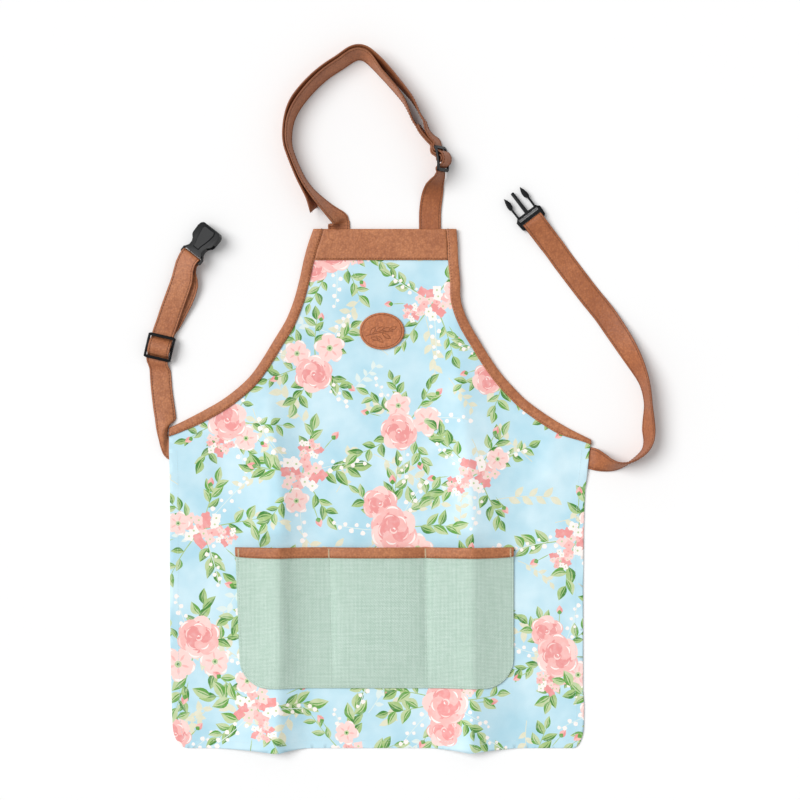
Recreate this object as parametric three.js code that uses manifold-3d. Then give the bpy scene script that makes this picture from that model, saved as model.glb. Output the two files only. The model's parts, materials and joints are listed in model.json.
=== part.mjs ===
import * as THREE from 'three';
import Module from 'manifold-3d';
import { mergeVertices } from 'three/addons/utils/BufferGeometryUtils.js';

// Gardening apron, laid face up on a table. Millimetres. X runs to the right
// of the front, Y towards the neck and Z up from the table. The origin lies on
// the table, on the centre line, level with the waist corners.

// Cloth and leather
const CLEARANCE = 0.3;
const PANEL_CLOTH = 1.2;
const POCKET_CLOTH = 1.4;
const EDGE_LEATHER = 1.0;
const PATCH_LEATHER = 1.6;
const STRAP_WIDTH = 25;
const STRAP_THICK = 1.8;

// Front panel
const WAIST_WIDTH = 481;
const BIB_WIDTH = 162.8;
const BIB_SHIFT = 5.6;
const BIB_RISE = 240.2;
const SKIRT_DROP = 351;
const FOLD_HEIGHT = 14;
const HEM_DIP = 5;

// Band, bindings, pocket and patch
const BINDING_WIDTH = 11.5;
const BAND_DEPTH = 35.5;
const POCKET_WIDTH = 317;
const POCKET_HEIGHT = 160.5;
const POCKET_DROP = 122;
const POCKET_SHIFT = -6.3;
const POCKET_LEAN = 5;
const POCKET_CORNER = 34;
const POCKET_PUFF = 9;
const PATCH_WIDTH = 51;
const PATCH_HEIGHT = 42;
const PATCH_RISE = 124;
const PATCH_SHIFT = 2.3;

// Straps
const NECK_RISE = 196;
const LEFT_STRAP_RISE = 211;
const RIGHT_STRAP_RISE = 250;
const ROOT_DEPTH = 20;
const STUB_LENGTH = 28;

// Sliders and buckle
const HARDWARE_WIDTH = 31.4;
const SLOT_WIDTH = 26;
const SLIDER_LENGTH = 29;
const SLIDER_BAR = 3.4;
const SLIDER_THICK = 2.6;
const SLIDER_ARCH = 2;
const BUCKLE_BAR = 3.4;
const BUCKLE_BAR_THICK = 3;
const SOCKET_LENGTH = 42.5;
const SOCKET_THICK = 8.6;
const SOCKET_HOLLOW = 5.2;
const PLUG_LENGTH = 43;
const PLUG_WIDTH = 33.5;
const PLUG_THICK = 3.6;

const WAIST_HALF = WAIST_WIDTH / 2;
const BIB_HALF = BIB_WIDTH / 2;
const HALF_STRAP = STRAP_THICK / 2;
const LAYER = STRAP_THICK + CLEARANCE;
const EDGE_WRAP = EDGE_LEATHER + CLEARANCE;

// Heights of the panel's underside where leather lies beneath it
const OVER_BINDING = EDGE_WRAP;
const OVER_STRAP = LAYER;
const OVER_BAND = LAYER + EDGE_WRAP;

// Armhole edges from the bib's top to the waist corners. "out" runs from 0 at
// the bib's width to 1 at the waist's, "up" is a share of the bib's rise, and
// "lift" runs from 0 over a binding to 1 over the band and the neck straps.
const ARMHOLE = [
  { leftOut: 0.0, leftUp: 1.0, rightOut: 0.0, rightUp: 1.0, lift: 1 },
  { leftOut: 0.037, leftUp: 0.927, rightOut: 0.009, rightUp: 0.927, lift: 1 },
  { leftOut: 0.066, leftUp: 0.853, rightOut: 0.013, rightUp: 0.853, lift: 1 },
  { leftOut: 0.097, leftUp: 0.757, rightOut: 0.027, rightUp: 0.757, lift: 0.5 },
  { leftOut: 0.135, leftUp: 0.662, rightOut: 0.033, rightUp: 0.662, lift: 0.25 },
  { leftOut: 0.19, leftUp: 0.568, rightOut: 0.083, rightUp: 0.568, lift: 0.1 },
  { leftOut: 0.273, leftUp: 0.473, rightOut: 0.168, rightUp: 0.473, lift: 0 },
  { leftOut: 0.357, leftUp: 0.378, rightOut: 0.261, rightUp: 0.378, lift: 0 },
  { leftOut: 0.436, leftUp: 0.303, rightOut: 0.347, rightUp: 0.303, lift: 0 },
  { leftOut: 0.523, leftUp: 0.246, rightOut: 0.428, rightUp: 0.246, lift: 0 },
  { leftOut: 0.633, leftUp: 0.189, rightOut: 0.518, rightUp: 0.189, lift: 0 },
  { leftOut: 0.758, leftUp: 0.14, rightOut: 0.659, rightUp: 0.123, lift: 0 },
  { leftOut: 0.883, leftUp: 0.095, rightOut: 0.822, rightUp: 0.059, lift: 0 },
  { leftOut: 0.998, leftUp: 0.057, rightOut: 0.999, rightUp: 0.002, lift: 0 },
];

// Side edges of the skirt. "down" is a share of the skirt's drop, "left" and
// "right" are shares of half the waist, and "lift" says how far the strap
// roots under the sides still raise the panel.
const SKIRT = [
  { down: 0.039, left: 0.999, right: 0.991, lift: 1 },
  { down: 0.097, left: 0.995, right: 0.983, lift: 1 },
  { down: 0.162, left: 0.995, right: 0.972, lift: 0.25 },
  { down: 0.205, left: 0.995, right: 0.969, lift: 0 },
  { down: 0.25, left: 0.995, right: 0.966, lift: 0 },
  { down: 0.292, left: 0.995, right: 0.965, lift: 0 },
  { down: 0.336, left: 0.995, right: 0.965, lift: 0 },
  { down: 0.38, left: 0.995, right: 0.964, lift: 0 },
  { down: 0.487, left: 0.995, right: 0.962, lift: 0 },
  { down: 0.601, left: 0.994, right: 0.962, lift: 0 },
  { down: 0.715, left: 0.992, right: 0.962, lift: 0 },
  { down: 0.773, left: 0.99, right: 0.962, lift: 0 },
  { down: 0.812, left: 0.988, right: 0.962, lift: 0 },
  { down: 0.861, left: 0.986, right: 0.967, lift: 0 },
  { down: 0.922, left: 0.983, right: 0.966, lift: 0 },
  { down: 0.968, left: 0.972, right: 0.959, lift: 0 },
  { down: 0.991, left: 0.935, right: 0.935, lift: 0 },
];

// Columns of the panel between its two inner edge lines, as shares across
const COLUMNS = [
  0, 0.027, 0.073, 0.116, 0.16, 0.194, 0.227, 0.252, 0.268, 0.285, 0.307, 0.341, 0.385, 0.44,
  0.501, 0.561, 0.618, 0.658, 0.692, 0.716, 0.733, 0.75, 0.774, 0.803, 0.834, 0.88, 0.926,
  0.972, 1,
];

// Soft folds that run up the panel. "up" is a share of the bib's rise above
// the waist and of the skirt's drop below it, "across" a share of half the
// waist and "height" a share of the fold height. The slopes on the left and
// right of each crest reach out by shares of half the waist.
const LEFT_FOLD = {
  leftReach: 0.33,
  rightReach: 0.15,
  rows: [
    { up: 0.52, across: -0.54, height: 0 },
    { up: 0.28, across: -0.532, height: 0.2 },
    { up: 0.13, across: -0.516, height: 0.42 },
    { up: 0, across: -0.499, height: 0.65 },
    { up: -0.19, across: -0.464, height: 0.8 },
    { up: -0.29, across: -0.466, height: 0.72 },
    { up: -0.336, across: -0.466, height: 0.42 },
    { up: -0.38, across: -0.468, height: 0.3 },
    { up: -0.65, across: -0.47, height: 0.3 },
    { up: -0.75, across: -0.474, height: 0.45 },
    { up: -0.812, across: -0.475, height: 0.66 },
    { up: -0.861, across: -0.477, height: 0.82 },
    { up: -1, across: -0.482, height: 1 },
  ],
};
const RIGHT_FOLD = {
  leftReach: 0.2,
  rightReach: 0.25,
  rows: [
    { up: 0.84, across: 0.312, height: 0 },
    { up: 0.7, across: 0.333, height: 0.16 },
    { up: 0.43, across: 0.366, height: 0.34 },
    { up: 0.19, across: 0.387, height: 0.5 },
    { up: 0, across: 0.407, height: 0.65 },
    { up: -0.19, across: 0.432, height: 0.8 },
    { up: -0.29, across: 0.437, height: 0.72 },
    { up: -0.336, across: 0.441, height: 0.42 },
    { up: -0.38, across: 0.441, height: 0.3 },
    { up: -0.65, across: 0.441, height: 0.3 },
    { up: -0.75, across: 0.441, height: 0.45 },
    { up: -0.812, across: 0.44, height: 0.66 },
    { up: -0.861, across: 0.437, height: 0.82 },
    { up: -1, across: 0.428, height: 0.95 },
  ],
};
const FOLD_SHARPNESS = 1.6;

// Pocket columns as shares of its width, with how far the cloth stands off
// the panel. It is sewn down where "puff" is 0: at both sides and along the
// two seams that part it into three.
const POCKET_COLUMNS = [
  { across: 0, puff: 0 },
  { across: 0.027, puff: 0.2 },
  { across: 0.085, puff: 0.58 },
  { across: 0.131, puff: 0.86 },
  { across: 0.164, puff: 1 },
  { across: 0.192, puff: 0.86 },
  { across: 0.232, puff: 0.58 },
  { across: 0.282, puff: 0.25 },
  { across: 0.336, puff: 0 },
  { across: 0.39, puff: 0.42 },
  { across: 0.45, puff: 0.7 },
  { across: 0.509, puff: 0.76 },
  { across: 0.57, puff: 0.7 },
  { across: 0.628, puff: 0.42 },
  { across: 0.683, puff: 0 },
  { across: 0.739, puff: 0.45 },
  { across: 0.795, puff: 0.82 },
  { across: 0.829, puff: 0.95 },
  { across: 0.854, puff: 1 },
  { across: 0.883, puff: 0.86 },
  { across: 0.93, puff: 0.5 },
  { across: 0.974, puff: 0.18 },
  { across: 1, puff: 0 },
];
const POCKET_ROWS = [
  { down: 0, puff: 1, binding: 1 },
  { down: 0.068, puff: 1, binding: 1 },
  { down: 0.2, puff: 1, binding: 0 },
  { down: 0.4, puff: 1, binding: 0 },
  { down: 0.62, puff: 0.96, binding: 0 },
  { down: 0.78, puff: 0.84, binding: 0 },
  { down: 0.9, puff: 0.5, binding: 0 },
  { down: 1, puff: 0, binding: 0 },
];

// Neck loop. "across" is a share of the bib's width and "up" of the loop's
// rise above the bib. The left strap's inner edge stands on these points,
// turned up by "tilt", and the right strap's free end runs outside it, further
// away by "apart" strap widths.
const NECK_LOOP = [
  { across: -0.245, up: -0.169, tilt: 0, apart: 0 },
  { across: -0.245, up: 0.012, tilt: 0, apart: 0 },
  { across: -0.254, up: 0.06, tilt: 22, apart: 0 },
  { across: -0.281, up: 0.096, tilt: 38, apart: 0 },
  { across: -0.366, up: 0.14, tilt: 56, apart: 0.5 },
  { across: -0.486, up: 0.221, tilt: 72, apart: 0.14 },
  { across: -0.563, up: 0.302, tilt: 78, apart: 0.05 },
  { across: -0.633, up: 0.433, tilt: 79, apart: 0.03 },
  { across: -0.654, up: 0.514, tilt: 77, apart: 0.03 },
  { across: -0.638, up: 0.62, tilt: 74, apart: 0.04 },
  { across: -0.584, up: 0.71, tilt: 71, apart: 0.1 },
  { across: -0.486, up: 0.808, tilt: 69, apart: 0.08 },
  { across: -0.387, up: 0.881, tilt: 68, apart: 0.06 },
  { across: -0.289, up: 0.934, tilt: 67, apart: 0.05 },
  { across: -0.211, up: 0.977, tilt: 66, apart: 0.05 },
  { across: -0.172, up: 0.984, tilt: 67, apart: 0.06 },
  { across: -0.13, up: 0.968, tilt: 70, apart: 0.08 },
  { across: -0.042, up: 0.897, tilt: 80, apart: 0.24 },
  { across: 0.056, up: 0.808, tilt: 82, apart: 0.22 },
  { across: 0.137, up: 0.727, tilt: 88, apart: 0.28 },
  { across: 0.186, up: 0.628, tilt: 95, apart: 0.34 },
  { across: 0.215, up: 0.587, tilt: 98, apart: 0.32 },
  { across: 0.239, up: 0.55, tilt: 101, apart: 0.22 },
  { across: 0.275, up: 0.512, tilt: 106, apart: 0.12 },
  { across: 0.316, up: 0.475, tilt: 111, apart: 0.1 },
];
const TAIL_FIRST = 5;
const STUB_FIRST = 21;

// Right neck strap up to its slider, its right edge on these points
const NECK_RIGHT = [
  { across: 0.392, up: -0.169, tilt: 0 },
  { across: 0.392, up: 0.012, tilt: 0 },
  { across: 0.393, up: 0.099, tilt: 2 },
  { across: 0.4, up: 0.157, tilt: 8 },
  { across: 0.407, up: 0.204, tilt: 18 },
  { across: 0.41, up: 0.25, tilt: 36 },
];
const NECK_SLIDER = { across: 0.384, up: 0.4, heading: 97, tilt: 67, height: 15.3 };

// Left waist strap, in shares of its rise from the waist corner. Its middle
// runs over these points. Where it turns up from its seam it faces "face"
// degrees and rolls up in its middle by "cup" strap widths.
const WAIST_LEFT_LOWER = [
  { across: 0.07, up: -0.046, face: 270 },
  { across: 0.002, up: -0.046, face: 270 },
  { across: -0.011, up: -0.034, face: 264, cup: 0.02 },
  { across: -0.019, up: -0.02, face: 258, cup: 0.1 },
  { across: -0.024, up: 0.005, face: 248, cup: 0.2 },
  { across: -0.027, up: 0.042, face: 231, cup: 0.28 },
  { across: -0.022, up: 0.074, face: 205, cup: 0.24 },
  { across: -0.018, up: 0.111, face: 186, cup: 0.12 },
  { across: -0.025, up: 0.162, face: 180, cup: 0.05 },
  { across: -0.039, up: 0.27 },
  { across: -0.048, up: 0.38 },
];
const WAIST_LEFT_UPPER = [
  { across: -0.008, up: 0.63, tilt: 0, slip: 0.12 },
  { across: 0.016, up: 0.7, tilt: 0, slip: 0.22 },
  { across: 0.046, up: 0.78, tilt: -2, slip: 0.3 },
  { across: 0.075, up: 0.86, tilt: -6, slip: 0.28 },
];
const WAIST_SLIDER = { across: -0.046, up: 0.5, heading: 77, tilt: 0 };
const SOCKET_SEAT = { across: 0.1225, up: 0.985, heading: 52, tilt: -20, height: 10.6 };

// Right waist strap, in shares of its rise from the other waist corner. It
// turns over once on its way, from its underside at the seam to the plug.
const WAIST_RIGHT = [
  { across: -0.087, up: -0.083, tilt: 0 },
  { across: -0.002, up: -0.083, tilt: 0 },
  { across: 0.032, up: -0.096, tilt: 24 },
  { across: 0.068, up: -0.11, tilt: 48 },
  { across: 0.109, up: -0.117, tilt: 66 },
  { across: 0.15, up: -0.11, tilt: 80 },
  { across: 0.182, up: -0.095, tilt: 89 },
  { across: 0.213, up: -0.074, tilt: 94 },
  { across: 0.241, up: -0.046, tilt: 99 },
  { across: 0.257, up: -0.005, tilt: 109 },
  { across: 0.258, up: 0.046, tilt: 118 },
  { across: 0.257, up: 0.1, tilt: 112 },
  { across: 0.256, up: 0.155, tilt: 104 },
  { across: 0.25, up: 0.21, tilt: 105 },
  { across: 0.237, up: 0.264, tilt: 111 },
  { across: 0.214, up: 0.319, tilt: 124 },
  { across: 0.181, up: 0.383, tilt: 141 },
  { across: 0.144, up: 0.447, tilt: 156 },
  { across: 0.103, up: 0.511, tilt: 167 },
  { across: 0.057, up: 0.579, tilt: 176 },
  { across: -0.002, up: 0.652, tilt: 180 },
  { across: -0.065, up: 0.734, tilt: 180 },
  { across: -0.13, up: 0.82, tilt: 180 },
];
const PLUG_SEAT = { across: -0.261, up: 0.993, heading: 127.5, tilt: 0 };

// Half outlines of the socket: "along" is a share of its length from the
// strap's end and "half" a share of half the hardware's width. The rear is
// flat, the body deep, and the hollow takes the prongs.
const SOCKET_REAR = [
  { along: 0, half: 0.89 },
  { along: 0.04, half: 0.97 },
  { along: 0.17, half: 0.97 },
  { along: 0.25, half: 0.7 },
];
const SOCKET_BODY = [
  { along: 0.16, half: 0.84 },
  { along: 0.228, half: 0.73 },
  { along: 0.287, half: 0.61 },
  { along: 0.393, half: 0.6 },
  { along: 0.478, half: 0.7 },
  { along: 0.546, half: 0.9 },
  { along: 0.605, half: 0.97 },
  { along: 0.84, half: 1 },
  { along: 0.94, half: 0.93 },
  { along: 1, half: 0.74 },
];
const SOCKET_INSIDE = [
  { along: 0.46, half: 0.81 },
  { along: 0.9, half: 0.81 },
  { along: 1.03, half: 0.6 },
];
const SOCKET_WINDOW = { from: 0.49, to: 0.66 };

// Half outlines of the plug in the same way, as shares of its own length and
// of half its own width, and the outline of one of its two arms
const PLUG_PLATE = [
  { along: 0, half: 0.81 },
  { along: 0.035, half: 0.95 },
  { along: 0.284, half: 1 },
  { along: 0.319, half: 0.89 },
  { along: 0.37, half: 0.77 },
];
const PLUG_GUIDE = [
  { along: 0.35, half: 0.125 },
  { along: 0.98, half: 0.11 },
  { along: 1, half: 0.09 },
];
const PLUG_ARM = [
  { along: 0.35, half: 0.76 },
  { along: 0.64, half: 0.765 },
  { along: 0.68, half: 0.84 },
  { along: 0.76, half: 0.855 },
  { along: 0.88, half: 0.79 },
  { along: 1, half: 0.68 },
  { along: 0.91, half: 0.56 },
  { along: 0.81, half: 0.495 },
  { along: 0.71, half: 0.515 },
  { along: 0.645, half: 0.645 },
  { along: 0.35, half: 0.63 },
];
const PLUG_SLOTS = { strapTo: 0.158, openFrom: 0.24, openTo: 0.31 };

const COLORS = {
  cotton: 0xc3e2e6,
  leather: 0xb37650,
  jute: 0xbcd3c4,
  plastic: 0x2b2e31,
};

const wasm = await Module();
wasm.setup();

const point = (x, y, z) => new THREE.Vector3(x, y, z);
const mix = (a, b, t) => a + (b - a) * t;

// The value of a column of a table at a place along it, rising or falling
function follow(rows, key, value, at) {
  const falling = rows[0][key] > rows[rows.length - 1][key];
  const before = (row) => (falling ? row[key] >= at : row[key] <= at);
  let last = rows.findLastIndex(before);
  last = Math.min(Math.max(last, 0), rows.length - 2);
  const from = rows[last];
  const to = rows[last + 1];
  const t = Math.min(Math.max((at - from[key]) / (to[key] - from[key]), 0), 1);
  return mix(from[value], to[value], t);
}

// A closed mesh from its triangles, turned to face outwards
function closedMesh(points, triangles) {
  let volume = 0;
  for (const [a, b, c] of triangles) {
    volume += points[a].dot(point(0, 0, 0).crossVectors(points[b], points[c]));
  }
  const facing = volume < 0 ? triangles.map(([a, b, c]) => [a, c, b]) : triangles;
  const geometry = new THREE.BufferGeometry();
  geometry.setAttribute(
    'position',
    new THREE.Float32BufferAttribute(points.flatMap((p) => p.toArray()), 3),
  );
  geometry.setIndex(facing.flat());
  return geometry;
}

// A wall swept through sections. Each has an outer and an inner line of points.
function sweptWall(sections) {
  const points = sections.flatMap(({ outer, inner }) => [...outer, ...inner.toReversed()]);
  const ring = sections[0].outer.length * 2;
  const half = ring / 2;
  const triangles = [];
  for (let s = 0; s + 1 < sections.length; s += 1) {
    for (let k = 0; k < ring; k += 1) {
      const a = s * ring + k;
      const b = s * ring + ((k + 1) % ring);
      triangles.push([a, b, b + ring], [a, b + ring, a + ring]);
    }
  }
  for (const [start, flip] of [[0, false], [(sections.length - 1) * ring, true]]) {
    for (let k = 0; k + 1 < half; k += 1) {
      const [a, b] = [start + k, start + k + 1];
      const [c, d] = [start + ring - 2 - k, start + ring - 1 - k];
      const cap = [[a, c, b], [a, d, c]];
      triangles.push(...(flip ? cap.map(([p, q, r]) => [p, r, q]) : cap));
    }
  }
  return closedMesh(points, triangles);
}

// A sheet between two grids of points, with walls wherever its cells end
function sheet(upper, lower, has = () => true) {
  const columns = upper[0].length;
  const index = (j, i) => j * columns + i;
  const faces = [];
  for (let j = 0; j + 1 < upper.length; j += 1) {
    for (let i = 0; i + 1 < columns; i += 1) {
      if (has(j, i)) {
        const corners = [index(j, i), index(j + 1, i), index(j + 1, i + 1), index(j, i + 1)];
        faces.push([corners[0], corners[1], corners[2]], [corners[0], corners[2], corners[3]]);
      }
    }
  }
  const edges = new Set(faces.flatMap(([a, b, c]) => [`${a} ${b}`, `${b} ${c}`, `${c} ${a}`]));
  const under = upper.length * columns;
  const triangles = faces.flatMap(([a, b, c]) => [[a, b, c], [a + under, c + under, b + under]]);
  for (const edge of edges) {
    const [a, b] = edge.split(' ').map(Number);
    if (!edges.has(`${b} ${a}`)) {
      triangles.push([b, a, a + under], [b, a + under, b + under]);
    }
  }
  const used = [...new Set(triangles.flat())].sort((a, b) => a - b);
  const place = new Map(used.map((old, k) => [old, k]));
  const all = [...upper.flat(), ...lower.flat()];
  return closedMesh(
    used.map((k) => all[k]),
    triangles.map((face) => face.map((k) => place.get(k))),
  );
}

// Points of the armhole edges: the leather's outer edge, the cloth's edge
// inside it and the line where the binding ends
function armholeEdge(side) {
  const out = side < 0 ? 'leftOut' : 'rightOut';
  const up = side < 0 ? 'leftUp' : 'rightUp';
  const edge = ARMHOLE.map((row) => point(
    side * mix(BIB_HALF, WAIST_HALF, row[out]) + BIB_SHIFT * (1 - row[out]),
    row[up] * BIB_RISE,
    0,
  ));
  return edge.map((outer, k) => {
    const before = edge[Math.max(k - 1, 0)];
    const after = edge[Math.min(k + 1, edge.length - 1)];
    const run = after.clone().sub(before).normalize();
    let inwards = point(-side * Math.abs(run.y), -Math.abs(run.x), 0);
    let width = BINDING_WIDTH;
    if (k === 0) {
      inwards = point(-side, 0, 0);
    }
    if (k === edge.length - 1) {
      inwards = point(0, -1, 0);
      width = BINDING_WIDTH * (side < 0 ? 0.84 : 0.5);
    }
    const cloth = outer.clone().addScaledVector(inwards, EDGE_WRAP);
    const line = outer.clone().addScaledVector(inwards, width);
    return { outer, cloth, line, inwards };
  });
}
const LEFT_EDGE = armholeEdge(-1);
const RIGHT_EDGE = armholeEdge(1);

// How much a fold raises the panel at a place
function foldLift(fold, x, y) {
  const up = y > 0 ? y / BIB_RISE : y / SKIRT_DROP;
  const crest = follow(fold.rows, 'up', 'across', up) * WAIST_HALF;
  const height = follow(fold.rows, 'up', 'height', up) * FOLD_HEIGHT;
  const reach = (x < crest ? fold.leftReach : fold.rightReach) * WAIST_HALF;
  const t = Math.min(Math.abs(x - crest) / reach, 1);
  return height * (1 - t) ** FOLD_SHARPNESS;
}

// How near a place is to its side edge: 1 up to a depth, then falling to 0
function nearSide(toSide, depth, fall) {
  return Math.min(Math.max((depth + fall - toSide) / fall, 0), 1);
}
const ROOT_REACH = ROOT_DEPTH + 0.6 * STRAP_WIDTH;

// Rows of the panel: the grid that the cloth and everything sewn to it share
function panelRows() {
  const rows = [];
  ARMHOLE.forEach((row, k) => {
    const left = LEFT_EDGE[k];
    const right = RIGHT_EDGE[k];
    const inner = COLUMNS.map((t) => left.line.clone().lerp(right.line, t));
    const nodes = [left.cloth, ...inner, right.cloth].map((node) => node.clone());
    const waist = k === ARMHOLE.length - 1 ? 1 : 0;
    for (const node of nodes) {
      const toSide = Math.min(node.x - left.line.x, right.line.x - node.x);
      const sides = nearSide(toSide, BINDING_WIDTH, 3 * BINDING_WIDTH);
      const spread = mix(sides, 1, Math.min(4 * row.lift, 1));
      const rest = mix(OVER_BINDING, OVER_BAND, row.lift) * spread;
      const root = waist * nearSide(toSide, ROOT_REACH, STRAP_WIDTH) * OVER_STRAP;
      const folds = foldLift(LEFT_FOLD, node.x, node.y) + foldLift(RIGHT_FOLD, node.x, node.y);
      node.z = Math.max(rest, root) + folds;
      if (k === 0) {
        node.y -= EDGE_WRAP;
      }
    }
    rows.push(nodes);
  });
  SKIRT.forEach((row, k) => {
    const last = k === SKIRT.length - 1;
    const nodes = [0, ...COLUMNS, 1].map((t) => {
      const x = mix(-row.left, row.right, t) * WAIST_HALF;
      const left = foldLift(LEFT_FOLD, x, -row.down * SKIRT_DROP);
      const right = foldLift(RIGHT_FOLD, x, -row.down * SKIRT_DROP);
      const dip = last ? HEM_DIP * Math.max(left, right) / FOLD_HEIGHT : 0;
      const toEdge = Math.min(t, 1 - t) * WAIST_WIDTH;
      const round = last ? Math.min(toEdge / STRAP_WIDTH, 1) : 0;
      const y = -row.down * SKIRT_DROP - dip - round * (1 - row.down) * SKIRT_DROP;
      const rest = nearSide(toEdge, ROOT_REACH, STRAP_WIDTH) * row.lift * OVER_STRAP;
      return point(x, y, rest + left + right);
    });
    rows.push(nodes);
  });
  return rows;
}
const PANEL = panelRows();
const ARMHOLE_ROWS = ARMHOLE.length;
const LAST_COLUMN = COLUMNS.length + 1;
const raised = (node, by) => point(node.x, node.y, node.z + by);

// The skirt starts below the waist corners, so it lacks the two edge columns
function inPanel(j, i) {
  return j + 1 < ARMHOLE_ROWS || (i > 0 && i + 1 < LAST_COLUMN);
}

// Height of the panel's upper face over a place
function panelTop(x, y) {
  const place = new THREE.Vector3(x, y, 0);
  const flat = (node) => point(node.x, node.y, 0);
  let found = 0;
  for (let j = 0; j + 1 < PANEL.length; j += 1) {
    for (let i = 0; i < LAST_COLUMN; i += 1) {
      const [a, b] = [PANEL[j][i], PANEL[j + 1][i]];
      const [c, d] = [PANEL[j + 1][i + 1], PANEL[j][i + 1]];
      const near = x >= Math.min(a.x, b.x) && x <= Math.max(c.x, d.x);
      if (near && y <= Math.max(a.y, d.y) && y >= Math.min(b.y, c.y)) {
        for (const face of [[a, b, c], [a, c, d]]) {
          const weights = new THREE.Vector3();
          const inside = THREE.Triangle.getBarycoord(place, ...face.map(flat), weights);
          if (inside && weights.x >= 0 && weights.y >= 0 && weights.z >= 0) {
            found = face[0].z * weights.x + face[1].z * weights.y + face[2].z * weights.z;
          }
        }
      }
    }
  }
  return found + PANEL_CLOTH;
}

// Where a piece laid over the panel can rest at a place, clear of the cloth
// within a short reach
function seatOn(x, y, reach) {
  const around = [[0, 0], [-1, 0], [1, 0], [0, -1], [0, 1]];
  const heights = around.map(([dx, dy]) => panelTop(x + dx * reach, y + dy * reach));
  return Math.max(...heights) + CLEARANCE;
}

function apronPanel() {
  const upper = PANEL.map((row) => row.map((node) => raised(node, PANEL_CLOTH)));
  return sheet(upper, PANEL, inPanel);
}

// Leather folded over an edge of cloth. Each section has nodes from the line
// where it ends to the cloth's edge, and a step beyond that edge.
function foldedOver(sections, cloth) {
  const turns = sections.map(({ nodes, beyond }) => {
    const edge = nodes[nodes.length - 1];
    const skin = (gap, reach) => {
      const past = edge.clone().addScaledVector(beyond, reach);
      const front = [...nodes, past].map((node) => raised(node, cloth + gap));
      const back = [...nodes, past].map((node) => raised(node, -gap));
      return [...front, ...back.toReversed()];
    };
    return { outer: skin(EDGE_WRAP, EDGE_WRAP), inner: skin(CLEARANCE, CLEARANCE) };
  });
  return sweptWall(turns);
}

function binding(side) {
  const edge = side < 0 ? LEFT_EDGE : RIGHT_EDGE;
  const sections = edge.map(({ inwards }, k) => {
    const row = PANEL[k];
    const line = (side < 0 ? row[1] : row[LAST_COLUMN - 1]).clone();
    const cloth = (side < 0 ? row[0] : row[LAST_COLUMN]).clone();
    if (k === 0) {
      line.y += EDGE_WRAP;
      cloth.y += EDGE_WRAP;
    }
    return { nodes: [line, cloth], beyond: inwards.clone().negate() };
  });
  return foldedOver(sections, PANEL_CLOTH);
}

// The place on a column of the bib at a height up it
function upColumn(i, y) {
  const below = PANEL.findIndex((row) => row[i].y < y);
  const [from, to] = [PANEL[below - 1][i], PANEL[below][i]];
  return from.clone().lerp(to, (from.y - y) / (from.y - to.y));
}

function topBand() {
  const sections = [];
  for (let i = 1; i < LAST_COLUMN; i += 1) {
    const edge = PANEL[0][i].clone();
    const nodes = [
      upColumn(i, BIB_RISE - BAND_DEPTH),
      upColumn(i, BIB_RISE - BAND_DEPTH / 2),
      edge,
    ];
    if (i === 1 || i === LAST_COLUMN - 1) {
      nodes.forEach((node) => {
        node.x += i === 1 ? CLEARANCE : -CLEARANCE;
      });
    }
    sections.push({ nodes, beyond: point(0, 1, 0) });
  }
  return foldedOver(sections, PANEL_CLOTH);
}

// Rows of the pocket, its round lower corners worked out for each column
function pocketRows() {
  const reach = 10 * CLEARANCE;
  return POCKET_ROWS.map((row) => POCKET_COLUMNS.map((column) => {
    const lean = POCKET_LEAN * row.down * (1 - column.across);
    const x = (column.across - 0.5) * POCKET_WIDTH + POCKET_SHIFT + lean;
    const toSide = Math.min(column.across, 1 - column.across) * POCKET_WIDTH;
    const short = Math.max(POCKET_CORNER - toSide, 0);
    const corner = POCKET_CORNER - Math.sqrt(POCKET_CORNER ** 2 - short ** 2);
    const y = -POCKET_DROP - EDGE_WRAP - row.down * (POCKET_HEIGHT - EDGE_WRAP - corner);
    const seam = seatOn(x, y, reach) + row.binding * EDGE_WRAP;
    return point(x, y, seam + column.puff * row.puff * POCKET_PUFF);
  }));
}
const POCKET = pocketRows();

function pocket() {
  const upper = POCKET.map((row) => row.map((node) => raised(node, POCKET_CLOTH)));
  return sheet(upper, POCKET);
}

function pocketBinding() {
  const sections = POCKET_COLUMNS.map((column, i) => ({
    nodes: [POCKET[1][i], POCKET[0][i]],
    beyond: point(0, 1, 0),
  }));
  return foldedOver(sections, POCKET_CLOTH);
}

function labelPatch() {
  const shape = new THREE.Shape();
  shape.absellipse(0, 0, PATCH_WIDTH / 2, PATCH_HEIGHT / 2, 0, 2 * Math.PI);
  const geometry = new THREE.ExtrudeGeometry(shape, {
    depth: PATCH_LEATHER,
    bevelEnabled: false,
    curveSegments: 36,
  });
  let seat = 0;
  for (let angle = 0; angle < 2 * Math.PI; angle += Math.PI / 12) {
    for (const share of [0, 0.5, 1]) {
      const x = PATCH_SHIFT + share * Math.cos(angle) * PATCH_WIDTH / 2;
      const y = PATCH_RISE + share * Math.sin(angle) * PATCH_HEIGHT / 2;
      seat = Math.max(seat, seatOn(x, y, CLEARANCE));
    }
  }
  geometry.translate(PATCH_SHIFT, PATCH_RISE, seat);
  return geometry;
}

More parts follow.
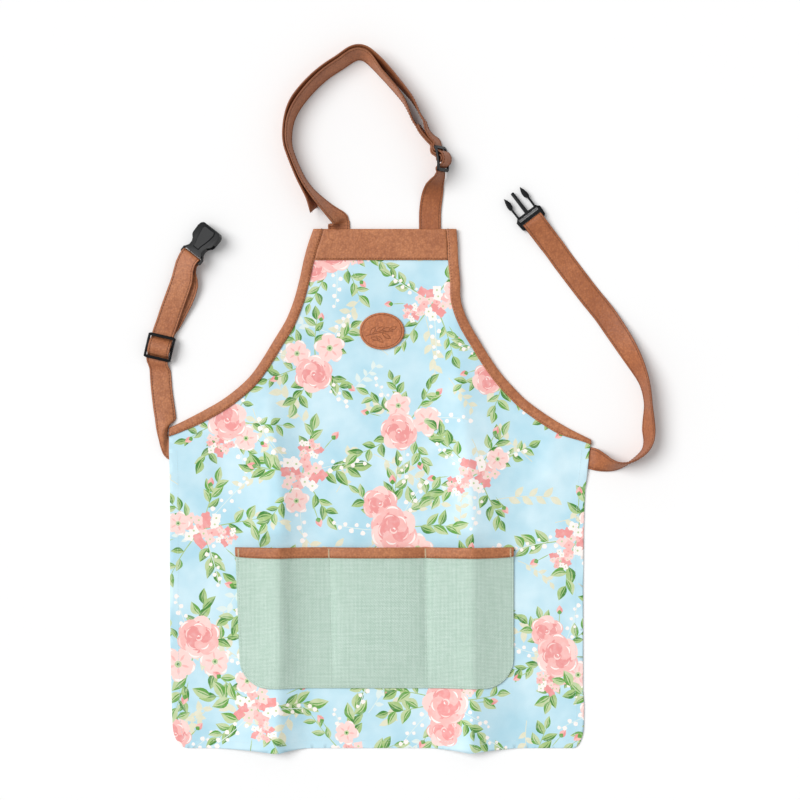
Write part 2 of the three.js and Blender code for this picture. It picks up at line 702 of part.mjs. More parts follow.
// Stations of a strap from rows placed on the table. A row's place is the
// strap's middle, or its right edge where "edge" is 1. Upwards, a tilted
// strap stands on its lower edge.
function stations(rows, place, edge) {
  const plan = rows.map(place);
  return rows.map((row, k) => {
    const before = plan[Math.max(k - 1, 0)];
    const after = plan[Math.min(k + 1, plan.length - 1)];
    const run = after.clone().sub(before).setZ(0).normalize();
    const face = THREE.MathUtils.degToRad(row.face ?? 0);
    const left = row.face === undefined
      ? point(-run.y, run.x, 0)
      : point(Math.cos(face), Math.sin(face), 0);
    const tilt = THREE.MathUtils.degToRad(row.tilt ?? 0);
    const middle = plan[k].clone();
    middle.addScaledVector(left, edge * Math.abs(Math.cos(tilt)) * STRAP_WIDTH / 2);
    const across = left.clone().multiplyScalar(Math.cos(tilt)).setZ(Math.sin(tilt));
    const station = { middle, across, left, cup: row.cup ?? 0, apart: row.apart ?? 0 };
    return standing(station);
  });
}

// A station at the height where its strap stands on the table
function standing(station) {
  const upright = Math.abs(station.across.z);
  const flat = Math.sqrt(Math.max(1 - upright ** 2, 0));
  const height = upright * STRAP_WIDTH / 2 + flat * HALF_STRAP;
  return { ...station, middle: station.middle.clone().setZ(height) };
}

// One more station halfway between each two, on a smooth curve through them
function smooth(list) {
  const curve = new THREE.CatmullRomCurve3(list.map(({ middle }) => middle));
  const dense = [list[0]];
  for (let k = 0; k + 1 < list.length; k += 1) {
    const [from, to] = [list[k], list[k + 1]];
    dense.push(standing({
      middle: curve.getPoint((k + 0.5) / (list.length - 1)),
      across: from.across.clone().add(to.across).normalize(),
      left: from.left.clone().add(to.left).normalize(),
      cup: (from.cup + to.cup) / 2,
      apart: (from.apart + to.apart) / 2,
    }));
    dense.push(to);
  }
  return dense;
}

// The upper face's direction at each station of a strap, with the factor that
// keeps the strap's thickness through a bend
function facings(list) {
  const runs = list.slice(1).map(({ middle }, k) => middle.clone().sub(list[k].middle));
  return list.map(({ across }, k) => {
    const before = runs[Math.max(k - 1, 0)].clone().cross(across).normalize();
    const after = runs[Math.min(k, runs.length - 1)].clone().cross(across).normalize();
    const normal = before.clone().add(after).normalize();
    return { normal, scale: 1 / normal.dot(before) };
  });
}

// A strap of the common width and thickness through its stations
function strap(list) {
  const faces = facings(list);
  return sweptWall(list.map(({ middle, across, cup }, k) => {
    const { normal, scale } = faces[k];
    const chord = STRAP_WIDTH * (1 - (8 / 3) * cup ** 2);
    const rise = (side) => cup * STRAP_WIDTH * (1 - Math.abs(side));
    const line = (offset) => [-1, 0, 1].map((side) => middle.clone()
      .addScaledVector(across, side * chord / 2)
      .addScaledVector(normal, rise(side) + offset * scale));
    return { outer: line(HALF_STRAP), inner: line(-HALF_STRAP) };
  }));
}

// A station moved out to the left of its strap, still standing on the table
function movedOut(station, away) {
  const push = away / Math.max(Math.abs(station.across.z), 0.5);
  return { ...station, middle: station.middle.clone().addScaledVector(station.left, push) };
}

// A frame on the table: along a heading, with its left side turned up by tilt
function frameAt(origin, heading, tilt) {
  const along = THREE.MathUtils.degToRad(heading);
  const turn = THREE.MathUtils.degToRad(tilt);
  const ahead = point(Math.cos(along), Math.sin(along), 0);
  const left = point(-Math.sin(along), Math.cos(along), 0).multiplyScalar(Math.cos(turn));
  left.z = Math.sin(turn);
  const up = ahead.clone().cross(left);
  const matrix = new THREE.Matrix4().makeBasis(ahead, left, up).setPosition(origin);
  return { matrix, left };
}

// Stations of a strap inside a frame, from its places along and above it
function threaded(frame, path) {
  return path.map(([ahead, above]) => ({
    middle: point(ahead, 0, above).applyMatrix4(frame.matrix),
    across: frame.left.clone(),
    cup: 0,
  }));
}

// Places on the neck loop, and from either waist corner
const onNeck = ({ across, up }) => point(
  across * BIB_WIDTH + BIB_SHIFT,
  BIB_RISE + up * NECK_RISE,
  0,
);
const onLeft = ({ across, up }) => point(
  -WAIST_HALF + across * LEFT_STRAP_RISE,
  up * LEFT_STRAP_RISE,
  0,
);
const onRight = ({ across, up }) => point(
  WAIST_HALF + across * RIGHT_STRAP_RISE,
  up * RIGHT_STRAP_RISE,
  0,
);

// Layers of strap at a slider. Heights are over the underside of its ends.
const SLIDER_END = SLIDER_LENGTH / 2;
const SLIDER_GATE = SLIDER_END - SLIDER_BAR;
const UNDER_ONE = -CLEARANCE - HALF_STRAP;
const UNDER_TWO = UNDER_ONE - LAYER;
const UNDER_THREE = UNDER_TWO - LAYER;
const WRAP_SIDE = SLIDER_BAR / 2 + CLEARANCE + HALF_STRAP;
const WRAP_UNDER = SLIDER_ARCH - CLEARANCE - HALF_STRAP;
const WRAP_OVER = SLIDER_ARCH + SLIDER_THICK + CLEARANCE + HALF_STRAP;
const HUMP = WRAP_OVER + LAYER;
const WRAP_BEND = LAYER / 3;

// The adjustable layer: under the near bar, over the middle one, under the far
function overSlider() {
  const climb = [
    [SLIDER_END + 0.5 * LAYER, UNDER_ONE],
    [SLIDER_GATE - 0.33 * LAYER, UNDER_ONE],
    [SLIDER_GATE - 0.9 * LAYER, UNDER_ONE + 0.76 * LAYER],
    [WRAP_SIDE + 2.24 * LAYER, HUMP - 1.76 * LAYER],
    [WRAP_SIDE + 1.29 * LAYER, HUMP - 0.43 * LAYER],
    [WRAP_SIDE + 0.52 * LAYER, HUMP],
  ];
  const near = climb.map(([ahead, above]) => [-ahead, above]);
  return [...near, ...climb.toReversed()];
}

// The sewn end: up from the lowest layer, round the middle bar and back
function roundSlider() {
  return [
    [SLIDER_GATE - 0.9 * LAYER, UNDER_THREE],
    [SLIDER_GATE - 1.95 * LAYER, UNDER_THREE + 0.24 * LAYER],
    [WRAP_SIDE + 0.52 * LAYER, WRAP_UNDER - 1.29 * LAYER],
    [WRAP_SIDE - 0.52 * LAYER, WRAP_UNDER - 0.14 * LAYER],
    [-WRAP_SIDE + WRAP_BEND, WRAP_UNDER],
    [-WRAP_SIDE, WRAP_UNDER + WRAP_BEND],
    [-WRAP_SIDE, WRAP_OVER - WRAP_BEND],
    [-WRAP_SIDE + WRAP_BEND, WRAP_OVER],
    [WRAP_SIDE - WRAP_BEND, WRAP_OVER],
    [WRAP_SIDE, WRAP_OVER - WRAP_BEND],
    [WRAP_SIDE + 0.29 * LAYER, HUMP - 2.24 * LAYER],
    [WRAP_SIDE + 1.1 * LAYER, WRAP_UNDER - 0.1 * LAYER],
    [SLIDER_GATE - 1.67 * LAYER, UNDER_TWO + 0.33 * LAYER],
    [SLIDER_GATE - 0.71 * LAYER, UNDER_TWO],
    [SLIDER_END + 0.5 * LAYER, UNDER_TWO],
  ];
}

// A slider: an arched frame with a bar across its middle
function slider(frame) {
  const half = HARDWARE_WIDTH / 2;
  const gap = SLOT_WIDTH / 2;
  const mid = SLIDER_BAR / 2;
  const across = [half, gap, -gap, -half];
  const ends = [SLIDER_END, SLIDER_GATE, (SLIDER_GATE + mid) / 2, mid];
  const along = [...ends.map((v) => -v), 0, ...ends.toReversed()];
  const lower = along.map((u) => across.map((v) => {
    const blunt = Math.abs(u) === SLIDER_END && Math.abs(v) === half ? SLIDER_BAR / 3 : 0;
    const share = Math.max(Math.abs(u) - mid, 0) / (SLIDER_END - mid);
    return point(u - Math.sign(u) * blunt, v, SLIDER_ARCH * (1 - share ** 2));
  }));
  const upper = lower.map((row) => row.map((node) => raised(node, SLIDER_THICK)));
  const bar = (j) => j === 0 || j === along.length - 2 || j === 3 || j === 4;
  const geometry = sheet(upper, lower, (j, i) => i !== 1 || bar(j));
  geometry.applyMatrix4(frame.matrix);
  return geometry;
}

// Booleans on closed geometry
function asSolid(geometry) {
  geometry.deleteAttribute('normal');
  geometry.deleteAttribute('uv');
  const merged = mergeVertices(geometry, 1e-4);
  return new wasm.Manifold(new wasm.Mesh({
    numProp: 3,
    vertProperties: Float32Array.from(merged.attributes.position.array),
    triVerts: Uint32Array.from(merged.index.array),
  }));
}

function asGeometry(solid) {
  const mesh = solid.getMesh();
  const geometry = new THREE.BufferGeometry();
  const positions = [];
  for (let k = 0; k < mesh.vertProperties.length; k += mesh.numProp) {
    positions.push(...mesh.vertProperties.slice(k, k + 3));
  }
  geometry.setAttribute('position', new THREE.Float32BufferAttribute(positions, 3));
  geometry.setIndex([...mesh.triVerts]);
  return geometry;
}

// A slab with its outline along and across a frame, centred in height
function slab(outline, thick) {
  const shape = new THREE.Shape(outline.map(([u, v]) => new THREE.Vector2(u, v)));
  const geometry = new THREE.ExtrudeGeometry(shape, { depth: thick, bevelEnabled: false });
  geometry.translate(0, 0, -thick / 2);
  return asSolid(geometry);
}

function block(from, to, width, thick) {
  const geometry = new THREE.BoxGeometry(to - from, width, thick);
  geometry.translate((from + to) / 2, 0, 0);
  return asSolid(geometry);
}

// An outline from rows of shares, and one that is alike on both sides
function outlined(rows, length, half) {
  return rows.map((row) => [row.along * length - BUCKLE_BAR / 2, row.half * half]);
}

function mirrored(rows, length, half) {
  const side = outlined(rows, length, half);
  return [...side, ...side.toReversed().map(([u, v]) => [u, -v])];
}

// Places round a buckle's end bar, from the upper layer to the lower one
const BAR_HALF = BUCKLE_BAR / 2;
const BAR_OVER = BUCKLE_BAR_THICK / 2 + CLEARANCE + HALF_STRAP;
const BAR_AHEAD = BAR_HALF + CLEARANCE + HALF_STRAP;
const ROUND_BAR = [
  [-BAR_AHEAD - LAYER, BAR_OVER],
  [BAR_AHEAD - WRAP_BEND, BAR_OVER],
  [BAR_AHEAD, BAR_OVER - WRAP_BEND],
  [BAR_AHEAD, -BAR_OVER + WRAP_BEND],
  [BAR_AHEAD - WRAP_BEND, -BAR_OVER],
  [-BAR_AHEAD - LAYER, -BAR_OVER],
];

// The socket half: a deep hollow head, a narrow waist and the strap's bar
function buckleSocket(frame) {
  const half = HARDWARE_WIDTH / 2;
  const at = (share) => share * SOCKET_LENGTH - BAR_HALF;
  const shape = (rows, thick) => slab(mirrored(rows, SOCKET_LENGTH, half), thick);
  const body = shape(SOCKET_BODY, SOCKET_THICK);
  const rear = shape(SOCKET_REAR, BUCKLE_BAR_THICK);
  const inside = shape(SOCKET_INSIDE, SOCKET_HOLLOW);
  const slotTo = at(SOCKET_REAR[2].along);
  const slot = block(BAR_HALF, slotTo, SLOT_WIDTH, SOCKET_THICK);
  const { from, to } = SOCKET_WINDOW;
  const windows = block(at(from), at(to), HARDWARE_WIDTH * 2, SOCKET_HOLLOW);
  const solid = body.add(rear).subtract(slot).subtract(inside).subtract(windows);
  const geometry = asGeometry(solid);
  geometry.applyMatrix4(frame.matrix);
  return geometry;
}

// The plug half: two slots, side wings, a guide and two arms with barbs
function bucklePlug(frame) {
  const half = PLUG_WIDTH / 2;
  const at = (share) => share * PLUG_LENGTH - BAR_HALF;
  const plate = slab(mirrored(PLUG_PLATE, PLUG_LENGTH, half), BUCKLE_BAR_THICK);
  const guide = slab(mirrored(PLUG_GUIDE, PLUG_LENGTH, half), BUCKLE_BAR_THICK);
  const arm = outlined(PLUG_ARM, PLUG_LENGTH, half);
  const other = arm.map(([u, v]) => [u, -v]).toReversed();
  const { strapTo, openFrom, openTo } = PLUG_SLOTS;
  const solid = plate
    .add(guide)
    .add(slab(arm, PLUG_THICK))
    .add(slab(other, PLUG_THICK))
    .subtract(block(BAR_HALF, at(strapTo), SLOT_WIDTH, PLUG_THICK))
    .subtract(block(at(openFrom), at(openTo), SLOT_WIDTH, PLUG_THICK));
  const geometry = asGeometry(solid);
  geometry.applyMatrix4(frame.matrix);
  return geometry;
}

// Neck: the left strap is sewn to the slider's middle bar
const neckSliderFrame = frameAt(
  onNeck(NECK_SLIDER).setZ(NECK_SLIDER.height),
  NECK_SLIDER.heading,
  NECK_SLIDER.tilt,
);
const LOOP = smooth(stations(NECK_LOOP, onNeck, 1));

function neckStrapLeft() {
  const round = threaded(neckSliderFrame, roundSlider());
  const stub = LOOP.slice(2 * STUB_FIRST).map((station) => movedOut(station, LAYER));
  return strap([...LOOP, ...round, ...stub.toReversed()]);
}

function neckStrapRight() {
  const rise = smooth(stations(NECK_RIGHT, onNeck, 1));
  const over = threaded(neckSliderFrame, overSlider());
  const beside = LOOP.slice(2 * TAIL_FIRST - 1);
  const tail = beside.map((station) => movedOut(station, LAYER + station.apart * STRAP_WIDTH));
  return strap([...rise, ...over, ...tail.toReversed()]);
}

// Left waist strap: through the slider, round the socket's bar and back to
// the slider's middle bar
const leftSliderFrame = frameAt(
  onLeft(WAIST_SLIDER).setZ(HALF_STRAP - UNDER_THREE),
  WAIST_SLIDER.heading,
  WAIST_SLIDER.tilt,
);
const socketFrame = frameAt(
  onLeft(SOCKET_SEAT).setZ(SOCKET_SEAT.height),
  SOCKET_SEAT.heading,
  SOCKET_SEAT.tilt,
);

// Stations laid between two others in height, each slipped sideways by a
// share of the strap's width
function laidBetween(list, from, to, slips) {
  return list.map((station, k) => {
    const middle = station.middle.clone();
    middle.addScaledVector(station.across, -slips[k] * STRAP_WIDTH);
    middle.setZ(mix(from.middle.z, to.middle.z, (k + 1) / (list.length + 1)));
    return { ...station, middle };
  });
}

function waistStrapLeft() {
  const lower = smooth(stations(WAIST_LEFT_LOWER, onLeft, 0));
  const over = threaded(leftSliderFrame, overSlider());
  const lowest = [SLIDER_END + 0.5 * LAYER, UNDER_THREE];
  const round = threaded(leftSliderFrame, [lowest, ...roundSlider()]);
  const bar = threaded(socketFrame, ROUND_BAR);
  const back = stations(WAIST_LEFT_UPPER, onLeft, 0);
  const upper = laidBetween(back, over.at(-1), bar[0], back.map(() => 0));
  const slips = WAIST_LEFT_UPPER.map(({ slip }) => slip);
  const under = laidBetween(back, round[0], bar.at(-1), slips);
  const last = round.at(-1).middle;
  const aim = upper[0].middle.clone().setZ((upper[0].middle.z + under[0].middle.z) / 2);
  const share = Math.min(STUB_LENGTH / 2 / last.distanceTo(aim), 1);
  const stub = { ...back[0], middle: last.clone().lerp(aim, share) };
  return strap([...lower, ...over, ...upper, ...bar, ...under.toReversed(), ...round, stub]);
}

// Right waist strap, its end folded back under itself round the plug's bar
const plugFrame = frameAt(
  onRight(PLUG_SEAT).setZ(BAR_OVER + HALF_STRAP),
  PLUG_SEAT.heading,
  PLUG_SEAT.tilt,
);

function waistStrapRight() {
  const rise = smooth(stations(WAIST_RIGHT, onRight, 0));
  const back = -BAR_AHEAD - STUB_LENGTH;
  const upper = [
    [back - 2 * STRAP_WIDTH / 5, -BAR_OVER + 0.6 * LAYER],
    [back, -BAR_OVER + 1.1 * LAYER],
    [back / 2, LAYER / 2],
  ];
  const lower = [
    [back / 2, -BAR_OVER],
    [back, -BAR_OVER],
  ];
  const end = threaded(plugFrame, [...upper, ...ROUND_BAR, ...lower]);
  const turned = end.map((station) => ({
    ...station,
    across: station.across.clone().negate(),
  }));
  return strap([...rise, ...turned]);
}

// One named mesh for each piece
const group = new THREE.Group();

function add(name, geometry, color, roughness) {
  geometry.computeVertexNormals();
  const material = new THREE.MeshStandardMaterial({ color, roughness, metalness: 0 });
  const mesh = new THREE.Mesh(geometry, material);
  mesh.name = name;
  group.add(mesh);
}

add('apron_panel', apronPanel(), COLORS.cotton, 0.9);
add('top_band', topBand(), COLORS.leather, 0.6);
add('left_binding', binding(-1), COLORS.leather, 0.6);
add('right_binding', binding(1), COLORS.leather, 0.6);
add('pocket', pocket(), COLORS.jute, 0.95);
add('pocket_binding', pocketBinding(), COLORS.leather, 0.6);
add('label_patch', labelPatch(), COLORS.leather, 0.6);
add('neck_strap_left', neckStrapLeft(), COLORS.leather, 0.6);
add('neck_strap_right', neckStrapRight(), COLORS.leather, 0.6);
add('neck_slider', slider(neckSliderFrame), COLORS.plastic, 0.45);
add('waist_strap_left', waistStrapLeft(), COLORS.leather, 0.6);
add('waist_slider', slider(leftSliderFrame), COLORS.plastic, 0.45);
add('buckle_socket', buckleSocket(socketFrame), COLORS.plastic, 0.45);
add('waist_strap_right', waistStrapRight(), COLORS.leather, 0.6);
add('buckle_plug', bucklePlug(plugFrame), COLORS.plastic, 0.45);

export default group;
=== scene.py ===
"""Gardening apron laid face up on a pale table, dressed over its CAD frame.

Tables and rules are in millimetres, as in the part's source. Everything that
reaches Blender is in metres.
"""
import json
import math

import bmesh
import bpy
import numpy as np
from mathutils.geometry import delaunay_2d_cdt
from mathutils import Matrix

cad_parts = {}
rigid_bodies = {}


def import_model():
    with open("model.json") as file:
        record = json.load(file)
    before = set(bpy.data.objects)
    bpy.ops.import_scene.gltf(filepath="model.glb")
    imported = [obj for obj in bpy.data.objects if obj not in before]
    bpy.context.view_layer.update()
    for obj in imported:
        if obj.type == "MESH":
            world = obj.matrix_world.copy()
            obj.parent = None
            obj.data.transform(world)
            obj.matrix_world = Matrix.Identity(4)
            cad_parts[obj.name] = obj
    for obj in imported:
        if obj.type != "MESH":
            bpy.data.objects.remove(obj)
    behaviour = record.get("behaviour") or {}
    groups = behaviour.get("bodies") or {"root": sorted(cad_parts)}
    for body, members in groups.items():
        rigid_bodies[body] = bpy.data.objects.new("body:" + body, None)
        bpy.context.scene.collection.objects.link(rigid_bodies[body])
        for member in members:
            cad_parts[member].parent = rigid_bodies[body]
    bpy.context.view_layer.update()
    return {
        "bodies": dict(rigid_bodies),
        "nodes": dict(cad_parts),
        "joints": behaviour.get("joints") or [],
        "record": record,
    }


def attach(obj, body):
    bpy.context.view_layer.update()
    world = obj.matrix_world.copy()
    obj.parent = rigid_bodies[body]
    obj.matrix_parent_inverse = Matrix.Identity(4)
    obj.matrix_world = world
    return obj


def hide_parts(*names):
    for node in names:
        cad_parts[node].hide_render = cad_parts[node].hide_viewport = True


MM = 0.001

# Cloth and leather, as in the solids
CLEARANCE = 0.3
PANEL_CLOTH = 1.2
POCKET_CLOTH = 1.4
EDGE_LEATHER = 1.0
PATCH_LEATHER = 1.6
STRAP_WIDTH = 25.0
STRAP_THICK = 1.8
WAIST_WIDTH = 481.0
BIB_WIDTH = 162.8
BIB_SHIFT = 5.6
BIB_RISE = 240.2
SKIRT_DROP = 351.0
FOLD_HEIGHT = 14.0
HEM_DIP = 5.0
BINDING_WIDTH = 11.5
BAND_DEPTH = 35.5
POCKET_WIDTH = 317.0
POCKET_HEIGHT = 160.5
POCKET_DROP = 122.0
POCKET_SHIFT = -6.3
POCKET_LEAN = 5.0
POCKET_CORNER = 34.0
POCKET_PUFF = 9.0
PATCH_WIDTH = 51.0
PATCH_HEIGHT = 42.0
PATCH_RISE = 124.0
PATCH_SHIFT = 2.3
NECK_RISE = 196.0
LEFT_STRAP_RISE = 211.0
RIGHT_STRAP_RISE = 250.0
ROOT_DEPTH = 20.0
STUB_LENGTH = 28.0
SLIDER_LENGTH = 29.0
SLIDER_BAR = 3.4
SLIDER_THICK = 2.6
SLIDER_ARCH = 2.0
BUCKLE_BAR = 3.4
BUCKLE_BAR_THICK = 3.0
SOCKET_LENGTH = 42.5
SOCKET_WIDTH = 31.4
SOCKET_THICK = 8.6

WAIST_HALF = WAIST_WIDTH / 2
BIB_HALF = BIB_WIDTH / 2
HALF_STRAP = STRAP_THICK / 2
LAYER = STRAP_THICK + CLEARANCE
EDGE_WRAP = EDGE_LEATHER + CLEARANCE
OVER_BINDING = EDGE_WRAP
OVER_STRAP = LAYER
OVER_BAND = LAYER + EDGE_WRAP
UP = np.array([0.0, 0.0, 1.0])

# View and floor, in metres. The photo's middle and width fix the view
VIEW_MIDDLE = (0.0228, 0.0456)
VIEW_WIDTH = 0.912
CAMERA_HEIGHT = 2.26
SENSOR = 36.0
FLOOR_HALF = 16.0
FLOOR_DROP = 0.0003
TOUCHING = 1e-6

# Folds, whose reaches to the left and right are shares of half the waist,
# and the crease, ripples and slack of the cloth between them
LEFT_REACH = (0.33, 0.15)
RIGHT_REACH = (0.2, 0.25)
CREST_ROUND = 1.2
FOLD_SHARPNESS = 1.6
CREASE_DROP = 28.0
CREASE_SLOPE = 0.012
CREASE_WIDTH = 2.6
CREASE_HEIGHT = 0.7
RIPPLE = 0.35
SLACK = 0.36

# Edges and seams. The leather at each waist corner is a share of its width
CORNER_WIDTH = {-1: 0.84, 1: 0.5}
EDGE_SLACK = 0.15
HEM_DEPTH = 9.0
POCKET_SEAMS = (0.336, 0.683)
POCKET_SEWN = (0.0, *POCKET_SEAMS, 1.0)
POCKET_HEM = 0.009
PRESS_DEPTH = 0.42
FITTING_ROUND = 0.35
STRAP_ROUND = 0.6
STRAP_STEPS = 3
STRAP_THREAD = 0.36
SEAM_OUT = STRAP_WIDTH / 2 - 2.4
SEAM_SHARE = SEAM_OUT / (STRAP_WIDTH / 2)
SEAM_DEPTH = 0.2

# Nets of the printed panel, its print, and the weaves
NET_ACROSS = (-240, 241)
NET_UP = (-356, 240)
FACE_NET = 5.0
BACK_NET = 7.0
GHOSTS = 68
GOLDEN = 0.618034
COLUMN_STEP = 104.0
ROW_STEP = 132.0
ROW_SLANT = 22.0
COTTON_TURNS = 9000.0
JUTE_THREAD = 0.0015


def rows(text):
    """A table from its lines of numbers."""
    return np.array([[float(v) for v in line.split()] for line in text.strip().splitlines()])


# leftOut leftUp rightOut rightUp lift
ARMHOLE = rows("""
0.0 1.0 0.0 1.0 1
0.037 0.927 0.009 0.927 1
0.066 0.853 0.013 0.853 1
0.097 0.757 0.027 0.757 0.5
0.135 0.662 0.033 0.662 0.25
0.19 0.568 0.083 0.568 0.1
0.273 0.473 0.168 0.473 0
0.357 0.378 0.261 0.378 0
0.436 0.303 0.347 0.303 0
0.523 0.246 0.428 0.246 0
0.633 0.189 0.518 0.189 0
0.758 0.14 0.659 0.123 0
0.883 0.095 0.822 0.059 0
0.998 0.057 0.999 0.002 0
""")
# down left right
SKIRT = rows("""
0.039 0.999 0.991
0.097 0.995 0.983
0.162 0.995 0.972
0.205 0.995 0.969
0.292 0.995 0.965
0.38 0.995 0.964
0.487 0.995 0.962
0.601 0.994 0.962
0.715 0.992 0.962
0.773 0.99 0.962
0.812 0.988 0.962
0.861 0.986 0.967
0.922 0.983 0.966
""")
# up across height
LEFT_FOLD = rows("""
0.52 -0.54 0
0.28 -0.532 0.2
0.13 -0.516 0.42
0 -0.499 0.65
-0.19 -0.464 0.8
-0.29 -0.466 0.72
-0.336 -0.466 0.42
-0.38 -0.468 0.3
-0.65 -0.47 0.3
-0.75 -0.474 0.45
-0.812 -0.475 0.66
-0.861 -0.477 0.82
-1 -0.482 1
""")
RIGHT_FOLD = rows("""
0.84 0.312 0
0.7 0.333 0.16
0.43 0.366 0.34
0.19 0.387 0.5
0 0.407 0.65
-0.19 0.432 0.8
-0.29 0.437 0.72
-0.336 0.441 0.42
-0.38 0.441 0.3
-0.65 0.441 0.3
-0.75 0.441 0.45
-0.812 0.44 0.66
-0.861 0.437 0.82
-1 0.428 0.95
""")
FOLDS = ((LEFT_FOLD, LEFT_REACH), (RIGHT_FOLD, RIGHT_REACH))
# across puff
POCKET_COLUMNS = rows("""
0 0
0.03 0.08
0.06 0.2
0.09 0.4
0.12 0.64
0.145 0.8
0.158 0.82
0.17 0.72
0.19 0.46
0.21 0.28
0.24 0.15
0.29 0.05
0.336 0
0.355 0.2
0.39 0.4
0.45 0.55
0.509 0.6
0.57 0.55
0.628 0.4
0.664 0.2
0.683 0
0.7 0.2
0.73 0.42
0.78 0.6
0.83 0.79
0.854 0.82
0.87 0.72
0.92 0.4
0.97 0.12
1 0
""")
# down puff
POCKET_ROWS = rows("""
0 1
0.2 1
0.4 1
0.62 0.96
0.78 0.84
0.9 0.5
1 0
""")
# across up tilt apart
NECK_LOOP = rows("""
-0.245 -0.169 0 0
-0.245 0.012 0 0
-0.254 0.06 22 0
-0.281 0.096 38 0
-0.366 0.14 56 0.5
-0.486 0.221 72 0.14
-0.563 0.302 78 0.05
-0.633 0.433 79 0.03
-0.654 0.514 77 0.03
-0.638 0.62 74 0.04
-0.584 0.71 71 0.1
-0.486 0.808 69 0.08
-0.387 0.881 68 0.06
-0.289 0.934 67 0.05
-0.211 0.977 66 0.05
-0.172 0.984 67 0.06
-0.13 0.968 70 0.08
-0.042 0.897 80 0.24
0.056 0.808 82 0.22
0.137 0.727 88 0.28
0.186 0.628 95 0.34
0.215 0.587 98 0.32
0.239 0.55 101 0.22
0.275 0.512 106 0.12
0.316 0.475 111 0.1
""")
TAIL_FIRST = 5
STUB_FIRST = 21
NECK_RIGHT = rows("""
0.392 -0.169 0
0.392 0.012 0
0.393 0.099 2
0.4 0.157 8
0.407 0.204 18
0.41 0.25 36
""")
# across up face cup
WAIST_LEFT_LOWER = rows("""
0.07 -0.046 270 0
0.002 -0.046 270 0
-0.011 -0.034 264 0.02
-0.019 -0.02 258 0.1
-0.024 0.005 248 0.2
-0.027 0.042 231 0.28
-0.022 0.074 205 0.24
-0.018 0.111 186 0.12
-0.025 0.162 180 0.05
-0.039 0.27 172 0
-0.048 0.38 170 0
""")
# across up tilt slip
WAIST_LEFT_UPPER = rows("""
-0.008 0.63 0 0.12
0.016 0.7 0 0.22
0.046 0.78 -2 0.3
0.075 0.86 -6 0.28
""")
# across up tilt
WAIST_RIGHT = rows("""
-0.087 -0.083 0
-0.002 -0.083 0
0.032 -0.096 24
0.068 -0.11 48
0.109 -0.117 66
0.15 -0.11 80
0.182 -0.095 89
0.213 -0.074 94
0.241 -0.046 99
0.257 -0.005 109
0.258 0.046 118
0.257 0.1 112
0.256 0.155 104
0.25 0.21 105
0.237 0.264 111
0.214 0.319 124
0.181 0.383 141
0.144 0.447 156
0.103 0.511 167
0.057 0.579 176
-0.002 0.652 180
-0.065 0.734 180
-0.13 0.82 180
""")
# across up heading tilt height
NECK_SLIDER = (0.384, 0.4, 97, 67, 15.3)
WAIST_SLIDER = (-0.046, 0.5, 77, 0)
SOCKET_SEAT = (0.1225, 0.985, 52, -20, 10.6)
PLUG_SEAT = (-0.261, 0.993, 127.5, 0)


# Camera
def aim_camera():
    """The camera looks straight down on the photo's middle from far off."""
    camera = bpy.data.objects.new("camera", bpy.data.cameras.new("camera"))
    bpy.context.scene.collection.objects.link(camera)
    camera.location = (*VIEW_MIDDLE, CAMERA_HEIGHT)
    camera.data.sensor_width = SENSOR
    camera.data.lens = SENSOR * CAMERA_HEIGHT / VIEW_WIDTH
    camera.data.clip_end = 20.0
    bpy.context.scene.camera = camera


# Meshes
def link(name, mesh):
    """A mesh's own object, at the origin."""
    piece = bpy.data.objects.new(name, mesh)
    bpy.context.scene.collection.objects.link(piece)
    return piece


def build(name, points, faces, uv=None):
    """A mesh from points in millimetres and an array of equal faces."""
    mesh = bpy.data.meshes.new(name)
    points = np.asarray(points, float) * MM
    faces = np.asarray(faces, int)
    mesh.vertices.add(len(points))
    mesh.vertices.foreach_set("co", points.ravel())
    mesh.loops.add(faces.size)
    mesh.loops.foreach_set("vertex_index", faces.ravel())
    mesh.polygons.add(len(faces))
    mesh.polygons.foreach_set("loop_start", np.arange(len(faces)) * faces.shape[1])
    mesh.update(calc_edges=True)
    mesh.polygons.foreach_set("use_smooth", np.full(len(faces), True))
    if uv is not None:
        layer = mesh.uv_layers.new(name="along")
        layer.data.foreach_set("uv", np.asarray(uv, float)[faces.ravel()].ravel())
    mesh.validate()
    return link(name, mesh)


def grid_faces(m, n, closed=False):
    """Quads of an m by n grid of points, whose rows may close on themselves."""
    a, b = np.meshgrid(np.arange(m - 1), np.arange(n if closed else n - 1), indexing="ij")
    c, d = a + 1, (b + 1) % n
    return np.stack([a * n + b, c * n + b, c * n + d, a * n + d], -1).reshape(-1, 4)


def tube_faces(m, n):
    """Quads of a closed tube of m rings of n points, and across its ends."""
    half = np.arange(n // 2 - 1)
    cap = np.stack([half, half + 1, n - 2 - half, n - 1 - half], -1)
    return np.concatenate([grid_faces(m, n, closed=True), cap, cap[:, ::-1] + (m - 1) * n])


def outwards(points, faces):
    """A closed mesh's quads, turned round if the volume that they hold, the
    sum of the corner products of their triangles, is below 0."""
    p = points[faces]
    a = np.einsum("ij,ij->i", p[:, 0], np.cross(p[:, 1], p[:, 2])).sum()
    b = np.einsum("ij,ij->i", p[:, 0], np.cross(p[:, 2], p[:, 3])).sum()
    return faces if a + b > 0 else faces[:, ::-1]


def closed_sheet(top, under):
    """Points and faces of a sheet between two grids, walled at its rim."""
    m, n, _ = top.shape
    sheet = grid_faces(m, n)
    rim = np.concatenate([
        np.arange(n), np.arange(1, m) * n + n - 1,
        (m - 1) * n + np.arange(n - 2, -1, -1), np.arange(m - 2, 0, -1) * n,
    ])
    after = np.roll(rim, -1)
    size = m * n
    wall = np.stack([rim, after, after + size, rim + size], 1)
    points = np.concatenate([top.reshape(-1, 3), under.reshape(-1, 3)])
    return points, outwards(points, np.concatenate([sheet, sheet[:, ::-1] + size, wall]))


